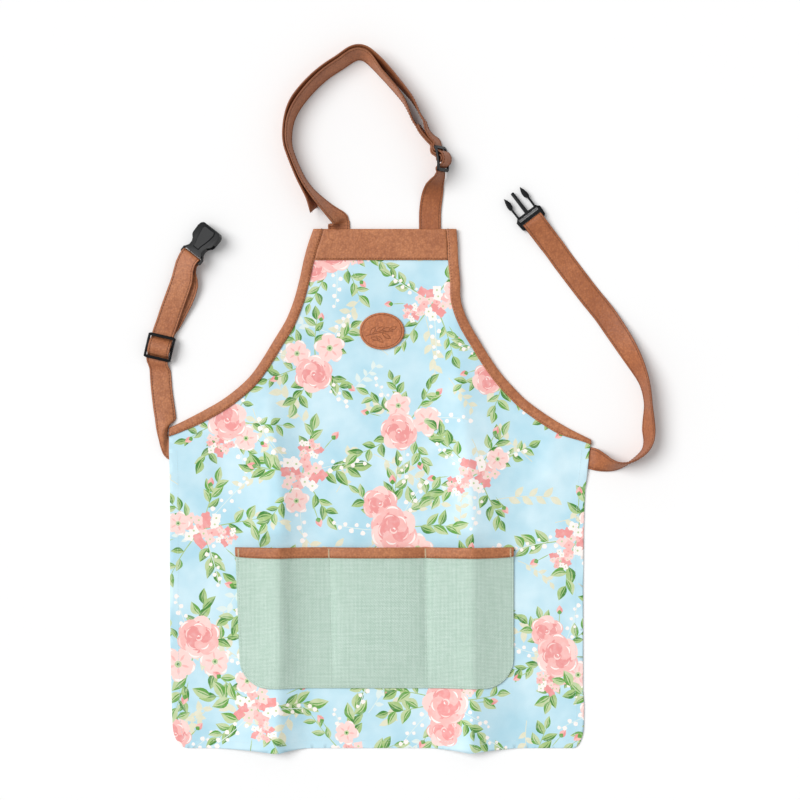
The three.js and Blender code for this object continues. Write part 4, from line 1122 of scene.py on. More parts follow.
def pocket_lines():
    """Rows of stitches on the pocket: its two sides, its bottom and its
    seams, each as shares across and down."""
    for place in (POCKET_HEM, 1 - POCKET_HEM):
        yield np.full(110, place), np.linspace(0.09, 0.80, 110)
    yield POCKET_HEM + (1 - 2 * POCKET_HEM) * np.linspace(0, 1, 120), np.full(120, 0.982)
    for place in POCKET_SEAMS:
        yield np.full(110, place), np.linspace(0.09, 0.985, 110)


def dress_pocket():
    """The pocket's cloth with its seams, the leather over its mouth with its
    own seam, and bar tacks, two short rows side by side, where each seam
    meets the mouth."""
    across = soft_shares(130, POCKET_SEWN)
    down = np.unique(np.round(np.concatenate([np.linspace(0, 1, 66), [0.985, 0.993]]), 5))
    under = pocket_under(*np.meshgrid(across, down, indexing="ij"))
    piece = build("jute_pocket", *closed_sheet(under + UP * POCKET_CLOTH, under))
    threads = [
        stitches(f"pocket_stitches_{k}", on_pocket(*line, 0.05), 3.0, 2.1, 0.26)
        for k, line in enumerate(pocket_lines())
    ]
    nodes = [pocket_under(across, np.full(len(across), v)) for v in np.linspace(0.068, 0, 7)]
    beyond = np.tile((0.0, 1.0, 0.0), (len(across), 1))
    binding = wrap("pocket_binding_leather", np.stack(nodes, axis=1), beyond, POCKET_CLOTH)
    low = on_pocket(across, np.full(len(across), 0.058), EDGE_WRAP + 0.2)
    rim_thread = stitches("pocket_binding_stitches", low[2:-2])
    tacks = []
    for k, place in enumerate((0.012, *POCKET_SEAMS, 0.988)):
        spot = on_pocket(np.full(40, place), np.linspace(0.062, 0.004, 40), EDGE_WRAP + 0.3)
        for j, shift in enumerate((-0.45, 0.45)):
            tacks.append(stitches(f"pocket_tack_{k}_{j}", spot + (shift, 0, 0), 1.1, 1.2, 0.34))
    return piece, threads, binding, rim_thread, tacks


# Patch
# across up turn length of each leaf pressed into the patch
SPRIG = rows("""
-13.3 -4.2 0.95 11.0
-7.0 -0.8 0.5 11.2
0.3 1.3 0.05 12.0
-12.6 -7.5 -0.25 11.0
-6.4 -5.6 -0.75 11.0
0.6 -2.8 -0.55 11.2
8.4 1.4 0.35 9.0
""")


def press_of(x, y, r):
    """How deep the patch is pressed at a place, from 0 to 1: a line near its
    rim, and the outlines of the sprig's leaves and its stalk. Each falls off
    as a bell curve of the distance."""
    press = np.exp(-((r - 0.895) / 0.016) ** 2)
    for foot_x, foot_y, turn, length in SPRIG:
        c, s = math.cos(turn), math.sin(turn)
        u = ((x - foot_x) * c + (y - foot_y) * s) / length
        v = (-(x - foot_x) * s + (y - foot_y) * c) / (0.36 * length)
        w = 0.5 * np.sin(math.pi * np.clip(u, 0, 1))
        edge = np.exp(-((abs(v) - w) / 0.12) ** 2) * (u > -0.03) * (u < 1.03)
        press = np.maximum(press, edge)
    run = x + 15.4
    stem = np.exp(-((y + 5.0 - 0.17 * run - 0.84 * np.sin(run / 8.4)) / 0.5) ** 2)
    return np.maximum(press, stem * (x > -18) * (x < 12.5))


def dress_patch():
    """Oval leather patch: rings of points from its middle to its rim, which
    rolls down as the square of the share of the way to it."""
    rings = np.concatenate([
        np.linspace(0, 0.85, 60)[1:],
        np.linspace(0.858, 0.955, 22),
        [0.968, 0.98, 0.99, 0.997, 1.0],
    ])
    count = 300
    k = np.arange(count)
    r, t = np.meshgrid(rings, k * 2 * math.pi / count, indexing="ij")
    x = 0.5 * PATCH_WIDTH * r * np.cos(t)
    y = 0.5 * PATCH_HEIGHT * r * np.sin(t)
    press = press_of(x, y, r)
    roll = 0.6 * np.clip((r - 0.955) / 0.045, 0, 1) ** 2
    x, y = x + PATCH_SHIFT, y + PATCH_RISE
    seat = float(np.max(panel_top(x, y))) + CLEARANCE
    top = np.stack([x, y, seat + PATCH_LEATHER - PRESS_DEPTH * press - roll], -1)
    rim = np.stack([x[-1], y[-1], np.full(count, seat)], -1)
    middle = [(PATCH_SHIFT, PATCH_RISE, seat + PATCH_LEATHER), (PATCH_SHIFT, PATCH_RISE, seat)]
    points = np.concatenate([top.reshape(-1, 3), rim, middle])
    m = len(rings)
    after = (k + 1) % count
    hub = (m + 1) * count
    fan = np.stack([np.full(count, hub), k, after], 1)
    base = np.stack([np.full(count, hub + 1), m * count + after, m * count + k], 1)
    quads = grid_faces(m + 1, count, closed=True)
    halves = np.concatenate([quads[:, [0, 1, 2]], quads[:, [0, 2, 3]]])
    piece = build("oval_patch", points, np.concatenate([halves, fan, base]))
    depth = np.concatenate([press.ravel(), np.zeros(count + 2)])
    mark = piece.data.color_attributes.new("press", "FLOAT_COLOR", "POINT")
    mark.data.foreach_set("color", np.repeat(depth, 4))
    return piece


# Straps
def stations(place, table, edge, faces=None):
    """Middle, across, left and tilt of a strap's stations on the table."""
    plan = np.array([place(row[0], row[1]) for row in table])
    run = np.empty_like(plan)
    run[1:-1] = plan[2:] - plan[:-2]
    run[0], run[-1] = plan[1] - plan[0], plan[-1] - plan[-2]
    run = unit(run)
    left = np.column_stack([-run[:, 1], run[:, 0]])
    tilt = np.radians(table[:, 2])
    if faces is not None:
        face = np.radians(faces)
        left = np.column_stack([np.cos(face), np.sin(face)])
        tilt = np.zeros(len(table))
    middle = plan + left * (edge * abs(np.cos(tilt)) * STRAP_WIDTH / 2)[:, None]
    return middle, left, tilt


def stand(middle, left, tilt):
    """Stations with the height at which a tilted strap stands."""
    z = abs(np.sin(tilt)) * STRAP_WIDTH / 2 + abs(np.cos(tilt)) * HALF_STRAP
    centre = np.column_stack([middle, z])
    across = np.column_stack([left * np.cos(tilt)[:, None], np.sin(tilt)])
    return centre, across


def denser(middle, left, tilt, steps, *more):
    """Stations on a smooth curve, steps times as many. More columns, such
    as a cup, are eased in the same way."""
    last = len(middle) - 1
    at = np.linspace(0, last, last * steps + 1)
    whole = np.column_stack([middle, left, tilt, *more])
    dense = spline(whole, at)
    return dense[:, :2], unit(dense[:, 2:4]), dense[:, 4], *dense[:, 5:].T


def frame_at(origin, heading, tilt):
    """Axes of a frame: ahead along a heading, left turned up by tilt, and
    the upward side."""
    along, turn = math.radians(heading), math.radians(tilt)
    ahead = np.array([math.cos(along), math.sin(along), 0])
    left = np.array([-math.sin(along) * math.cos(turn), math.cos(along) * math.cos(turn), math.sin(turn)])
    return np.array(origin, float), ahead, left, np.cross(ahead, left)


def threaded(frame, path):
    """Stations at places ahead of and above a frame's origin."""
    origin, ahead, left, up = frame
    path = np.asarray(path, float)
    centre = origin + path[:, :1] * ahead + path[:, 1:2] * up
    return centre, np.tile(left, (len(path), 1))


def soften(centre, across, cup):
    """A curve through stations with extra points between them, for the
    bends round a bar. It keeps close to the given points, because each one's
    slope leans to the shorter of the two gaps beside it."""
    last = len(centre) - 1
    at = np.linspace(0, last, last * STRAP_STEPS + 1)
    gaps = np.linalg.norm(np.diff(centre, axis=0), axis=1)
    whole = np.column_stack([centre, across, cup])
    rate = np.diff(whole, axis=0) / gaps[:, None]
    before, after = gaps[:-1, None], gaps[1:, None]
    between = (rate[1:] * before + rate[:-1] * after) / (before + after)
    dense = cubic(whole, np.concatenate([rate[:1], between, rate[-1:]]), at, gaps)
    return dense[:, :3], unit(dense[:, 3:6]), dense[:, 6]


def strap_section():
    """A strap's outline, from the middle of one edge round to it again, as
    places across and heights. Its faces are flat but for a groove along each
    seam, a bell curve of the distance from it, and its edges are round."""
    half = STRAP_WIDTH / 2
    flat = np.array([0.0, 0.55, 0.86, 0.95, 1.0]) * SEAM_OUT
    flat = np.concatenate([flat, [SEAM_OUT + 0.6, SEAM_OUT + 1.2, half - STRAP_ROUND]])
    flat = np.concatenate([-flat[:0:-1], flat])
    face = HALF_STRAP - SEAM_DEPTH * np.exp(-(((abs(flat) - SEAM_OUT) / 0.5) ** 2))
    turn = np.linspace(0.5 * math.pi, -0.5 * math.pi, 7)[1:-1]
    edge = half - STRAP_ROUND + STRAP_ROUND * np.cos(turn)
    rise = HALF_STRAP * np.sin(turn)
    across = np.concatenate([flat, edge, flat[::-1], -edge])
    height = np.concatenate([face, rise, -face, -rise])
    middle = len(flat) + 2
    return np.roll(across, -middle), np.roll(height, -middle)


def strap(name, centre, across, cup=None):
    """A strap's closed skin: its section carried along its stations square
    to its run. A cupped section bends up as a parabola across it, and draws
    in by as much as its arc needs. Four seams run along its faces."""
    cup = np.zeros(len(centre)) if cup is None else cup
    centre, across, cup = soften(centre, across, cup)
    run = unit(np.gradient(centre, axis=0))
    normal = unit(np.cross(run, across))
    half = STRAP_WIDTH / 2
    v, h = strap_section()
    chord = 1 - (8 / 3) * cup**2
    rise = cup[:, None] * STRAP_WIDTH * (1 - (v / half) ** 2)[None]
    ring = (
        centre[:, None]
        + across[:, None] * (v[None] * chord[:, None])[..., None]
        + normal[:, None] * (h[None] + rise)[..., None]
    )
    ring[..., 2] = np.maximum(ring[..., 2], 0.0)
    points = ring.reshape(-1, 3)
    faces = outwards(points, tube_faces(*ring.shape[:2]))
    uv = np.stack(np.broadcast_arrays(run_of(centre)[:, None] * MM, 0.5 + 0.5 * v / half), -1)
    piece = build(name, points, faces, uv.reshape(-1, 2))
    seams = []
    for k, (side, way) in enumerate(((-1, 1), (1, 1), (-1, -1), (1, -1))):
        lift = way * (HALF_STRAP - 0.1) + cup * STRAP_WIDTH * (1 - (SEAM_OUT / half) ** 2)
        spots = centre + across * (side * SEAM_OUT * chord)[:, None] + normal * lift[:, None]
        spots[:, 2] = np.maximum(spots[:, 2], STRAP_THREAD)
        seams.append(stitches(f"{name}_seam_{k}", spots, 3.4, 2.4, STRAP_THREAD, normal * way))
    return piece, seams


def on_neck(across, up):
    """Plan place of shares of the bib's width and the neck loop's rise."""
    return across * BIB_WIDTH + BIB_SHIFT, BIB_RISE + up * NECK_RISE


def on_left(across, up):
    """Plan place of shares of the left waist strap's rise."""
    return -WAIST_HALF + across * LEFT_STRAP_RISE, up * LEFT_STRAP_RISE


def on_right(across, up):
    """Plan place of shares of the right waist strap's rise."""
    return WAIST_HALF + across * RIGHT_STRAP_RISE, up * RIGHT_STRAP_RISE


# Places of a strap on its hardware, ahead of a bar and above it
SLIDER_END = SLIDER_LENGTH / 2
SLIDER_GATE = SLIDER_END - SLIDER_BAR
UNDER_ONE = -CLEARANCE - HALF_STRAP
UNDER_TWO = UNDER_ONE - LAYER
UNDER_THREE = UNDER_TWO - LAYER
WRAP_SIDE = SLIDER_BAR / 2 + CLEARANCE + HALF_STRAP
WRAP_UNDER = SLIDER_ARCH - CLEARANCE - HALF_STRAP
WRAP_OVER = SLIDER_ARCH + SLIDER_THICK + CLEARANCE + HALF_STRAP
HUMP = WRAP_OVER + LAYER
WRAP_BEND = LAYER / 3
BAR_HALF = BUCKLE_BAR / 2
BAR_OVER = BUCKLE_BAR_THICK / 2 + CLEARANCE + HALF_STRAP
BAR_AHEAD = BAR_HALF + CLEARANCE + HALF_STRAP

CLIMB = [
    (SLIDER_END + 0.5 * LAYER, UNDER_ONE),
    (SLIDER_GATE - 0.33 * LAYER, UNDER_ONE),
    (SLIDER_GATE - 0.9 * LAYER, UNDER_ONE + 0.76 * LAYER),
    (WRAP_SIDE + 2.24 * LAYER, HUMP - 1.76 * LAYER),
    (WRAP_SIDE + 1.29 * LAYER, HUMP - 0.43 * LAYER),
    (WRAP_SIDE + 0.52 * LAYER, HUMP),
]
OVER_SLIDER = [(-u, w) for u, w in CLIMB] + CLIMB[::-1]
ROUND_SLIDER = [
    (SLIDER_GATE - 0.9 * LAYER, UNDER_THREE),
    (SLIDER_GATE - 1.95 * LAYER, UNDER_THREE + 0.24 * LAYER),
    (WRAP_SIDE + 0.52 * LAYER, WRAP_UNDER - 1.29 * LAYER),
    (WRAP_SIDE - 0.52 * LAYER, WRAP_UNDER - 0.14 * LAYER),
    (-WRAP_SIDE + WRAP_BEND, WRAP_UNDER),
    (-WRAP_SIDE, WRAP_UNDER + WRAP_BEND),
    (-WRAP_SIDE, WRAP_OVER - WRAP_BEND),
    (-WRAP_SIDE + WRAP_BEND, WRAP_OVER),
    (WRAP_SIDE - WRAP_BEND, WRAP_OVER),
    (WRAP_SIDE, WRAP_OVER - WRAP_BEND),
    (WRAP_SIDE + 0.29 * LAYER, HUMP - 2.24 * LAYER),
    (WRAP_SIDE + 1.1 * LAYER, WRAP_UNDER - 0.1 * LAYER),
    (SLIDER_GATE - 1.67 * LAYER, UNDER_TWO + 0.33 * LAYER),
    (SLIDER_GATE - 0.71 * LAYER, UNDER_TWO),
    (SLIDER_END + 0.5 * LAYER, UNDER_TWO),
]
ROUND_BAR = [
    (-BAR_AHEAD - LAYER, BAR_OVER),
    (BAR_AHEAD - WRAP_BEND, BAR_OVER),
    (BAR_AHEAD, BAR_OVER - WRAP_BEND),
    (BAR_AHEAD, -BAR_OVER + WRAP_BEND),
    (BAR_AHEAD - WRAP_BEND, -BAR_OVER),
    (-BAR_AHEAD - LAYER, -BAR_OVER),
]


def joined(*parts):
    """One run of stations from several."""
    return tuple(np.concatenate(column) for column in zip(*parts))


def dress_neck():
    """Both neck straps. The left one rises on edge, comes round the loop,
    wraps the slider's middle bar and ends in a stub under itself. The right
    one rises to the slider, climbs over its middle bar, and its tail runs
    back beside the loop, moved outwards by a layer and the table's gap."""
    x, y = on_neck(*NECK_SLIDER[:2])
    slider = frame_at((x, y, NECK_SLIDER[4]), *NECK_SLIDER[2:4])
    middle, left, tilt, apart = denser(*stations(on_neck, NECK_LOOP, 1), 2, NECK_LOOP[:, 3])

    def moved(away, first):
        """The loop's stations from one on, moved outwards and turned back."""
        out = away / np.maximum(abs(np.sin(tilt)), 0.5)
        return tuple(v[first:][::-1] for v in stand(middle + left * out[:, None], left, tilt))

    loop = stand(middle, left, tilt)
    stub = moved(np.full(len(tilt), LAYER), 2 * STUB_FIRST)
    one = strap("neck_strap_left_leather", *joined(loop, threaded(slider, ROUND_SLIDER), stub))
    rise = stand(*denser(*stations(on_neck, NECK_RIGHT, 1), 2))
    tail = moved(LAYER + apart * STRAP_WIDTH, 2 * TAIL_FIRST - 1)
    two = strap("neck_strap_right_leather", *joined(rise, threaded(slider, OVER_SLIDER), tail))
    return one, two


def dress_waist_left():
    """Left waist strap: from the corner over the slider, on to the socket's
    bar, round it, and back below itself to the slider's middle bar. Between
    the two its height runs evenly."""
    x, y = on_left(*WAIST_SLIDER[:2])
    slider = frame_at((x, y, HALF_STRAP - UNDER_THREE), *WAIST_SLIDER[2:])
    x, y = on_left(*SOCKET_SEAT[:2])
    socket = frame_at((x, y, SOCKET_SEAT[4]), *SOCKET_SEAT[2:4])
    parts = stations(on_left, WAIST_LEFT_LOWER, 0, WAIST_LEFT_LOWER[:, 2])
    middle, left, tilt, cup = denser(*parts, 2, WAIST_LEFT_LOWER[:, 3])
    lower = stand(middle, left, tilt)
    over = threaded(slider, OVER_SLIDER)
    start = (SLIDER_END + 0.5 * LAYER, UNDER_THREE)
    round_bar = threaded(slider, [start, *ROUND_SLIDER])
    bar = threaded(socket, ROUND_BAR)
    centre, across = stand(*stations(on_left, WAIST_LEFT_UPPER, 0))
    share = (np.arange(len(centre)) + 1) / (len(centre) + 1)
    upper = centre.copy()
    upper[:, 2] = over[0][-1, 2] + (bar[0][0, 2] - over[0][-1, 2]) * share
    under = centre - across * (WAIST_LEFT_UPPER[:, 3] * STRAP_WIDTH)[:, None]
    under[:, 2] = round_bar[0][0, 2] + (bar[0][-1, 2] - round_bar[0][0, 2]) * share
    last = round_bar[0][-1]
    aim = centre[0].copy()
    aim[2] = (upper[0, 2] + under[0, 2]) / 2
    end = last + (aim - last) * min(STUB_LENGTH / 2 / np.linalg.norm(aim - last), 1)
    run = joined(
        lower, over, (upper, across), bar, (under[::-1], across[::-1]), round_bar,
        (end[None], across[:1]),
    )
    cups = np.zeros(len(run[0]))
    cups[: len(cup)] = cup
    return strap("waist_strap_left_leather", *run, cup=np.clip(cups, 0, 1))


def dress_waist_right():
    """Right waist strap: it turns on edge, rolls over on its way to the plug,
    goes round the plug's bar and ends in a stub beneath."""
    x, y = on_right(*PLUG_SEAT[:2])
    plug = frame_at((x, y, BAR_OVER + HALF_STRAP), *PLUG_SEAT[2:])
    rise = stand(*denser(*stations(on_right, WAIST_RIGHT, 0), 2))
    back = -BAR_AHEAD - STUB_LENGTH
    path = [
        (back - 2 * STRAP_WIDTH / 5, -BAR_OVER + 0.6 * LAYER),
        (back, -BAR_OVER + 1.1 * LAYER),
        (back / 2, LAYER / 2),
        *ROUND_BAR,
        (back / 2, -BAR_OVER),
        (back, -BAR_OVER),
    ]
    centre, across = threaded(plug, path)
    return strap("waist_strap_right_leather", *joined(rise, (centre, -across)))


# Fittings
# along half
LID = rows("""
0.3 0.3
0.42 0.34
0.55 0.46
0.7 0.56
0.86 0.62
0.965 0.5
""")


def dress_lid():
    """Raised lid on the socket's head: a shield as wide as its table says,
    standing off the head by a smooth step of the distance from its rim."""
    x, y = on_left(*SOCKET_SEAT[:2])
    origin, ahead, left, up = frame_at((x, y, SOCKET_SEAT[4]), *SOCKET_SEAT[2:4])
    u, v = np.meshgrid(np.linspace(0, 1, 45), np.linspace(-1, 1, 31), indexing="ij")
    span = LID[-1, 0] - LID[0, 0]
    share = LID[0, 0] + span * u
    half = np.interp(share, LID[:, 0], LID[:, 1]) * SOCKET_WIDTH / 2
    rim = np.minimum((1 - abs(v)) * half, np.minimum(u, 1 - u) * span * SOCKET_LENGTH)
    high = SOCKET_THICK / 2 - 0.15 + 1.0 * ease(rim / 1.5)
    plan = (
        origin
        + ahead * (share * SOCKET_LENGTH - BAR_HALF)[..., None]
        + left * (v * half)[..., None]
    )
    top = plan + up * high[..., None]
    under = plan + up * (SOCKET_THICK / 2 - 0.6)
    return build("socket_lid", *closed_sheet(top, under))


def moulded(name, node):
    """A moulded fitting: its solid's faces merged, with rounded edges, and
    the points that then coincide joined."""
    mesh = frame["nodes"][node].data.copy()
    work = bmesh.new()
    work.from_mesh(mesh)
    bmesh.ops.remove_doubles(work, verts=work.verts, dist=TOUCHING)
    bmesh.ops.dissolve_limit(work, angle_limit=math.radians(1.5), verts=work.verts, edges=work.edges)
    bmesh.ops.recalc_face_normals(work, faces=work.faces)
    work.to_mesh(mesh)
    work.free()
    mesh.materials.clear()
    mesh.polygons.foreach_set("use_smooth", np.full(len(mesh.polygons), True))
    piece = link(name, mesh)
    rounding = piece.modifiers.new("rounding", "BEVEL")
    rounding.width = FITTING_ROUND * MM
    rounding.segments = 3
    rounding.limit_method = "ANGLE"
    rounding.angle_limit = math.radians(28)
    rounding.harden_normals = False
    joining = piece.modifiers.new("joining", "WELD")
    joining.merge_threshold = TOUCHING
    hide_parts(node)
    return piece


# Materials
class Nodes:
    """Short way to wire a material's nodes."""

    def __init__(self, name):
        """A new material with its shader."""
        self.material = bpy.data.materials.new(name)
        self.material.use_nodes = True
        self.tree = self.material.node_tree
        self.shader = self.tree.nodes["Principled BSDF"]

    def new(self, kind, **sockets):
        """A node, with its sockets or settings given by name."""
        node = self.tree.nodes.new("ShaderNode" + kind)
        for key, value in sockets.items():
            name = key.replace("_", " ")
            if hasattr(node, key) and name not in node.inputs:
                setattr(node, key, value)
            else:
                self.feed(node.inputs[name], value)
        return node

    def feed(self, socket, value):
        """Links a socket, or sets it."""
        if isinstance(value, bpy.types.NodeSocket):
            self.tree.links.new(value, socket)
        else:
            socket.default_value = value

    def math(self, operation, *values):
        """A sum, product or the like."""
        node = self.tree.nodes.new("ShaderNodeMath")
        node.operation = operation
        for k, value in enumerate(values):
            self.feed(node.inputs[k], value)
        return node.outputs[0]

    def mix(self, share, a, b):
        """A colour a share of the way from one to another."""
        node = self.tree.nodes.new("ShaderNodeMix")
        node.data_type = "RGBA"
        self.feed(node.inputs[0], share)
        self.feed(node.inputs[6], a)
        self.feed(node.inputs[7], b)
        return node.outputs[2]

    def spread(self, value, low, high, to_low=0.0, to_high=1.0):
        """A value stretched from one span to another, and held at its ends."""
        ends = {"From_Min": low, "From_Max": high, "To_Min": to_low, "To_Max": to_high}
        return self.new("MapRange", Value=value, **ends).outputs[0]

    def place(self, scale=(1, 1, 1)):
        """The piece's own coordinates, stretched."""
        where = self.new("TexCoord").outputs["Object"]
        return self.new("Mapping", Vector=where, Scale=scale).outputs[0]

    def noise(self, vector, scale, detail=3.0, rough=0.55):
        """Cloudy noise, so many clouds to the metre."""
        node = self.new("TexNoise", Vector=vector, Scale=scale, Detail=detail, Roughness=rough)
        return node.outputs["Fac"]

    def bump(self, height, strength, distance, normal=None):
        """Relief from a height, over another relief if one is given."""
        node = self.new("Bump", Strength=strength, Distance=distance, Height=height)
        if normal is not None:
            self.feed(node.inputs["Normal"], normal)
        return node.outputs[0]

    def finish(self, color, rough, normal=None):
        """The material, once its shader is fed."""
        self.feed(self.shader.inputs["Base Color"], color)
        self.feed(self.shader.inputs["Roughness"], rough)
        if normal is not None:
            self.feed(self.shader.inputs["Normal"], normal)
        return self.material


def cotton_material():
    """Printed cotton: paint with a little uneven ink, or a blue ground of
    soft clouds where the paint is bare, on a fine plain weave, which is the
    product of two sines, and slack cloth."""
    n = Nodes("printed_cotton")
    where = n.place()
    paint = n.new("VertexColor", layer_name="print")
    cloud = n.spread(n.noise(where, 14.0, 3.0, 0.6), 0.35, 0.68)
    blue = n.mix(cloud, srgb(176, 217, 232), srgb(210, 236, 245))
    stain = n.spread(n.noise(where, 160.0, 4.0, 0.6), 0.45, 0.65)
    motif = n.mix(n.math("MULTIPLY", stain, 0.16), paint.outputs["Color"], srgb(250, 246, 244))
    color = n.mix(paint.outputs["Alpha"], motif, blue)
    split = n.new("SeparateXYZ", Vector=where)
    warp = n.math("SINE", n.math("MULTIPLY", split.outputs[0], COTTON_TURNS))
    weft = n.math("SINE", n.math("MULTIPLY", split.outputs[1], COTTON_TURNS))
    cloth = n.math("MULTIPLY", warp, weft)
    height = n.math("ADD", n.math("MULTIPLY", cloth, 0.5), n.noise(where, 900.0, 2.0))
    normal = n.bump(height, 0.25, 0.0002)
    normal = n.bump(n.noise(where, 22.0, 3.0), 0.35, 0.003, normal)
    n.shader.inputs["Sheen Weight"].default_value = 0.12
    return n.finish(color, 0.82, normal)


def leather_material(name, light, dark, pressed=False, edged=False):
    """Pebbled leather: broad tone, small mottling, and cells whose borders
    are sunk and painted darker, as painted shade in the grain's creases.
    Pressed marks are darker as well, and so are a strap's edges and the
    lines of its seams, a share of its half width out."""
    n = Nodes(name)
    where = n.place()
    broad = n.spread(n.noise(where, 26.0, 4.0, 0.6), 0.34, 0.68)
    color = n.mix(broad, dark, light)
    mottle = n.spread(n.noise(where, 230.0, 4.0, 0.65), 0.4, 0.66)
    color = n.mix(n.math("MULTIPLY", mottle, 0.46), color, srgb(134, 72, 40))
    cells = n.new("TexVoronoi", Vector=where, Scale=430.0, Randomness=1.0)
    border = n.spread(cells.outputs["Distance"], 0.12, 0.7)
    # Painted shade: the grain's sunk cell borders are darkened.
    color = n.mix(n.math("MULTIPLY", border, 0.34), color, srgb(118, 62, 34))
    if pressed:
        mark = n.new("VertexColor", layer_name="press")
        color = n.mix(n.math("MULTIPLY", mark.outputs["Color"], 0.62), color, srgb(104, 54, 28))
    if edged:
        along = n.new("UVMap", uv_map="along")
        split = n.new("SeparateXYZ", Vector=along.outputs[0])
        out = n.math("ABSOLUTE", n.math("SUBTRACT", n.math("MULTIPLY", split.outputs[1], 2.0), 1.0))
        gap = n.math("ABSOLUTE", n.math("SUBTRACT", out, SEAM_SHARE))
        seam = n.spread(gap, 0.02, 0.075, 0.42, 0.0)
        rim = n.spread(out, 0.93, 1.0, 0.0, 0.6)
        color = n.mix(n.math("MAXIMUM", seam, rim), color, srgb(98, 52, 28))
    fine = n.noise(where, 900.0, 3.0, 0.6)
    height = n.math("SUBTRACT", n.math("MULTIPLY", fine, 0.4), n.math("MULTIPLY", border, 0.8))
    normal = n.bump(height, 0.5, 0.0004)
    normal = n.bump(n.noise(where, 80.0, 4.0, 0.6), 0.4, 0.0016, normal)
    return n.finish(color, n.spread(fine, 0.0, 1.0, 0.48, 0.64), normal)


def jute_material():
    """Canvas of even threads that pass over and under one another, with a
    faint change of tone from thread to thread, and painted shade where the
    weave sinks between the threads."""
    n = Nodes("jute_weave")
    where = n.place()
    sway = n.math("MULTIPLY", n.math("SUBTRACT", n.noise(where, 90.0, 2.0), 0.5), 0.0008)
    split = n.new("SeparateXYZ", Vector=where)
    x, y = (
        n.math("SINE", n.math("MULTIPLY", n.math("ADD", split.outputs[k], sway), math.pi / JUTE_THREAD))
        for k in (0, 1)
    )
    over = n.math("GREATER_THAN", n.math("MULTIPLY", x, y), 0.0)
    height = n.new("Mix", data_type="FLOAT")
    n.feed(height.inputs[0], over)
    n.feed(height.inputs[2], n.math("ABSOLUTE", x))
    n.feed(height.inputs[3], n.math("ABSOLUTE", y))
    height = height.outputs[0]
    warp = n.noise(n.place((1, 0.06, 1)), 420.0, 2.0)
    weft = n.noise(n.place((0.06, 1, 1)), 420.0, 2.0)
    tone = n.spread(n.math("MULTIPLY", n.math("ADD", warp, weft), 0.5), 0.4, 0.6)
    color = n.mix(tone, srgb(199, 223, 209), srgb(212, 233, 221))
    # Painted shade: the colour darkens where the weave is low, between the threads.
    color = n.mix(n.spread(height, 0.08, 0.7), srgb(128, 160, 142), color)
    fibre = n.noise(where, 1500.0, 3.0)
    relief = n.math("ADD", height, n.math("MULTIPLY", fibre, 0.3))
    n.shader.inputs["Sheen Weight"].default_value = 0.1
    return n.finish(color, 0.9, n.bump(relief, 0.6, 0.0005))


def plastic_material():
    """Black moulded plastic with a faint broad tone and a fine grain, which
    also roughens its gloss."""
    n = Nodes("moulded_plastic")
    where = n.place()
    fine = n.noise(where, 1600.0, 2.0)
    color = n.mix(n.noise(where, 60.0, 2.0), srgb(7, 8, 10), srgb(16, 18, 21))
    n.shader.inputs["Specular IOR Level"].default_value = 0.22
    return n.finish(color, n.spread(fine, 0.0, 1.0, 0.34, 0.46), n.bump(fine, 0.2, 0.0001))


def thread_material(name, shade, dark):
    """Sewing thread: fine plies in two tones."""
    n = Nodes(name)
    ply = n.noise(n.place(), 2400.0, 2.0)
    return n.finish(n.mix(ply, dark, shade), 0.7, n.bump(ply, 0.3, 0.0001))


def wear(piece, material):
    """Gives a piece its material and its body."""
    piece.data.materials.clear()
    piece.data.materials.append(material)
    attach(piece, "root")


def cover(piece, node, material):
    """Puts a piece in its node's place, and gives it what it wears."""
    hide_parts(node)
    wear(piece, material)


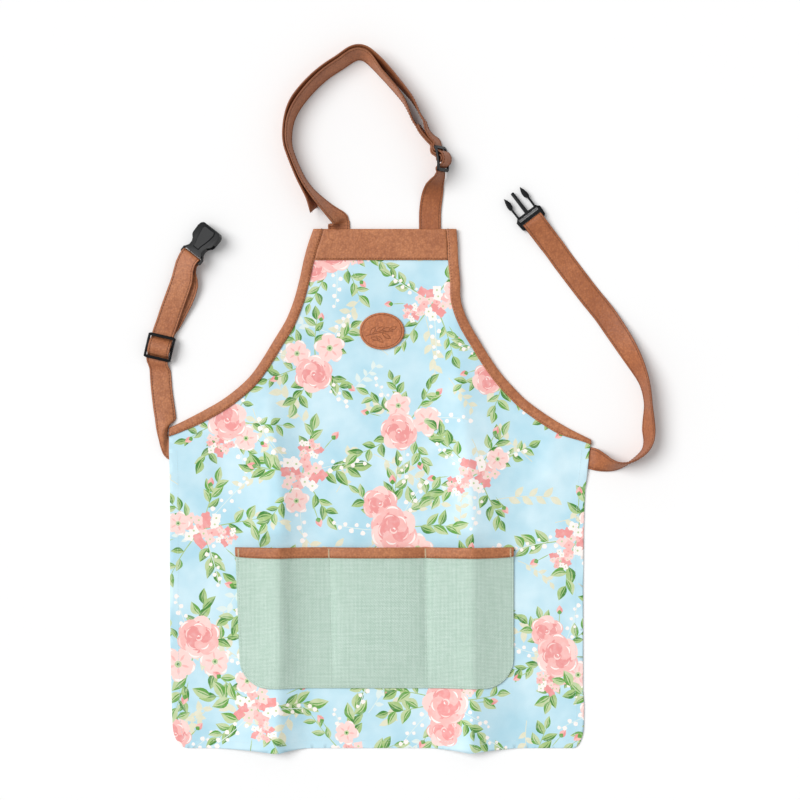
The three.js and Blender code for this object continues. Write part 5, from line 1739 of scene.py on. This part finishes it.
# Studio
def studio():
    """Pale floor, a broad soft sun from the upper left and a pale sky."""
    mesh = bpy.data.meshes.new("floor")
    corners = ((-1, -1), (1, -1), (1, 1), (-1, 1))
    corners = [(x * FLOOR_HALF, y * FLOOR_HALF, -FLOOR_DROP) for x, y in corners]
    mesh.from_pydata(corners, [], [(0, 1, 2, 3)])
    floor = link("floor", mesh)
    n = Nodes("pale_floor")
    color = n.mix(n.noise(n.place(), 3.0), (0.91, 0.91, 0.91, 1), (0.93, 0.93, 0.93, 1))
    mesh.materials.append(n.finish(color, 0.9))
    world = bpy.data.worlds.new("sky")
    world.use_nodes = True
    sky = world.node_tree.nodes["Background"]
    sky.inputs[0].default_value = (1, 1, 1, 1)
    sky.inputs[1].default_value = 0.5
    bpy.context.scene.world = world
    light = bpy.data.lights.new("key", "SUN")
    light.energy = 2.4
    light.angle = 0.7
    lamp = bpy.data.objects.new("key", light)
    bpy.context.scene.collection.objects.link(lamp)
    lamp.location = (-1.2, 0.5, 1.6)
    lamp.rotation_euler = (-lamp.location).to_track_quat("-Z", "Y").to_euler()
    bpy.context.scene.view_settings.view_transform = "Standard"


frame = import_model()
aim_camera()

cotton = cotton_material()
leather = leather_material("tan_leather", srgb(204, 133, 88), srgb(186, 116, 74))
strap_leather = leather_material("strap_leather", srgb(200, 131, 87), srgb(182, 112, 71), edged=True)
deep_leather = leather_material("deep_strap_leather", srgb(189, 116, 70), srgb(168, 97, 54), edged=True)
patch_leather = leather_material("patch_leather", srgb(212, 132, 84), srgb(200, 118, 72), pressed=True)
jute = jute_material()
plastic = plastic_material()
thread = thread_material("leather_thread", srgb(148, 92, 58), srgb(108, 62, 36))
pale_thread = thread_material("pale_thread", srgb(238, 226, 196), srgb(206, 190, 156))
green_thread = thread_material("pocket_thread", srgb(206, 224, 212), srgb(170, 192, 178))
blue_thread = thread_material("hem_thread", srgb(226, 240, 244), srgb(190, 214, 222))

panel = dress_panel()
cover(panel, "apron_panel", cotton)

for side, node in ((-1, "left_binding"), (1, "right_binding")):
    edging, seam = dress_binding(side, node + "_leather")
    cover(edging, node, leather)
    wear(seam, thread)

band, seam = dress_band()
cover(band, "top_band", leather)
wear(seam, thread)

pocket, pocket_seams, mouth, mouth_seam, tacks = dress_pocket()
cover(pocket, "pocket", jute)
cover(mouth, "pocket_binding", leather)
wear(mouth_seam, thread)
for seam in pocket_seams:
    wear(seam, green_thread)
for tack in tacks:
    wear(tack, pale_thread)

cover(dress_patch(), "label_patch", patch_leather)

loop, rise = dress_neck()
straps = (
    ("neck_strap_left", loop, strap_leather),
    ("neck_strap_right", rise, deep_leather),
    ("waist_strap_left", dress_waist_left(), strap_leather),
    ("waist_strap_right", dress_waist_right(), deep_leather),
)
for node, (piece, seams), hide in straps:
    cover(piece, node, hide)
    for seam in seams:
        wear(seam, thread)

for node in ("neck_slider", "waist_slider", "buckle_socket", "buckle_plug"):
    wear(moulded(node + "_moulded", node), plastic)
wear(dress_lid(), plastic)
wear(dress_hem(), blue_thread)

studio()
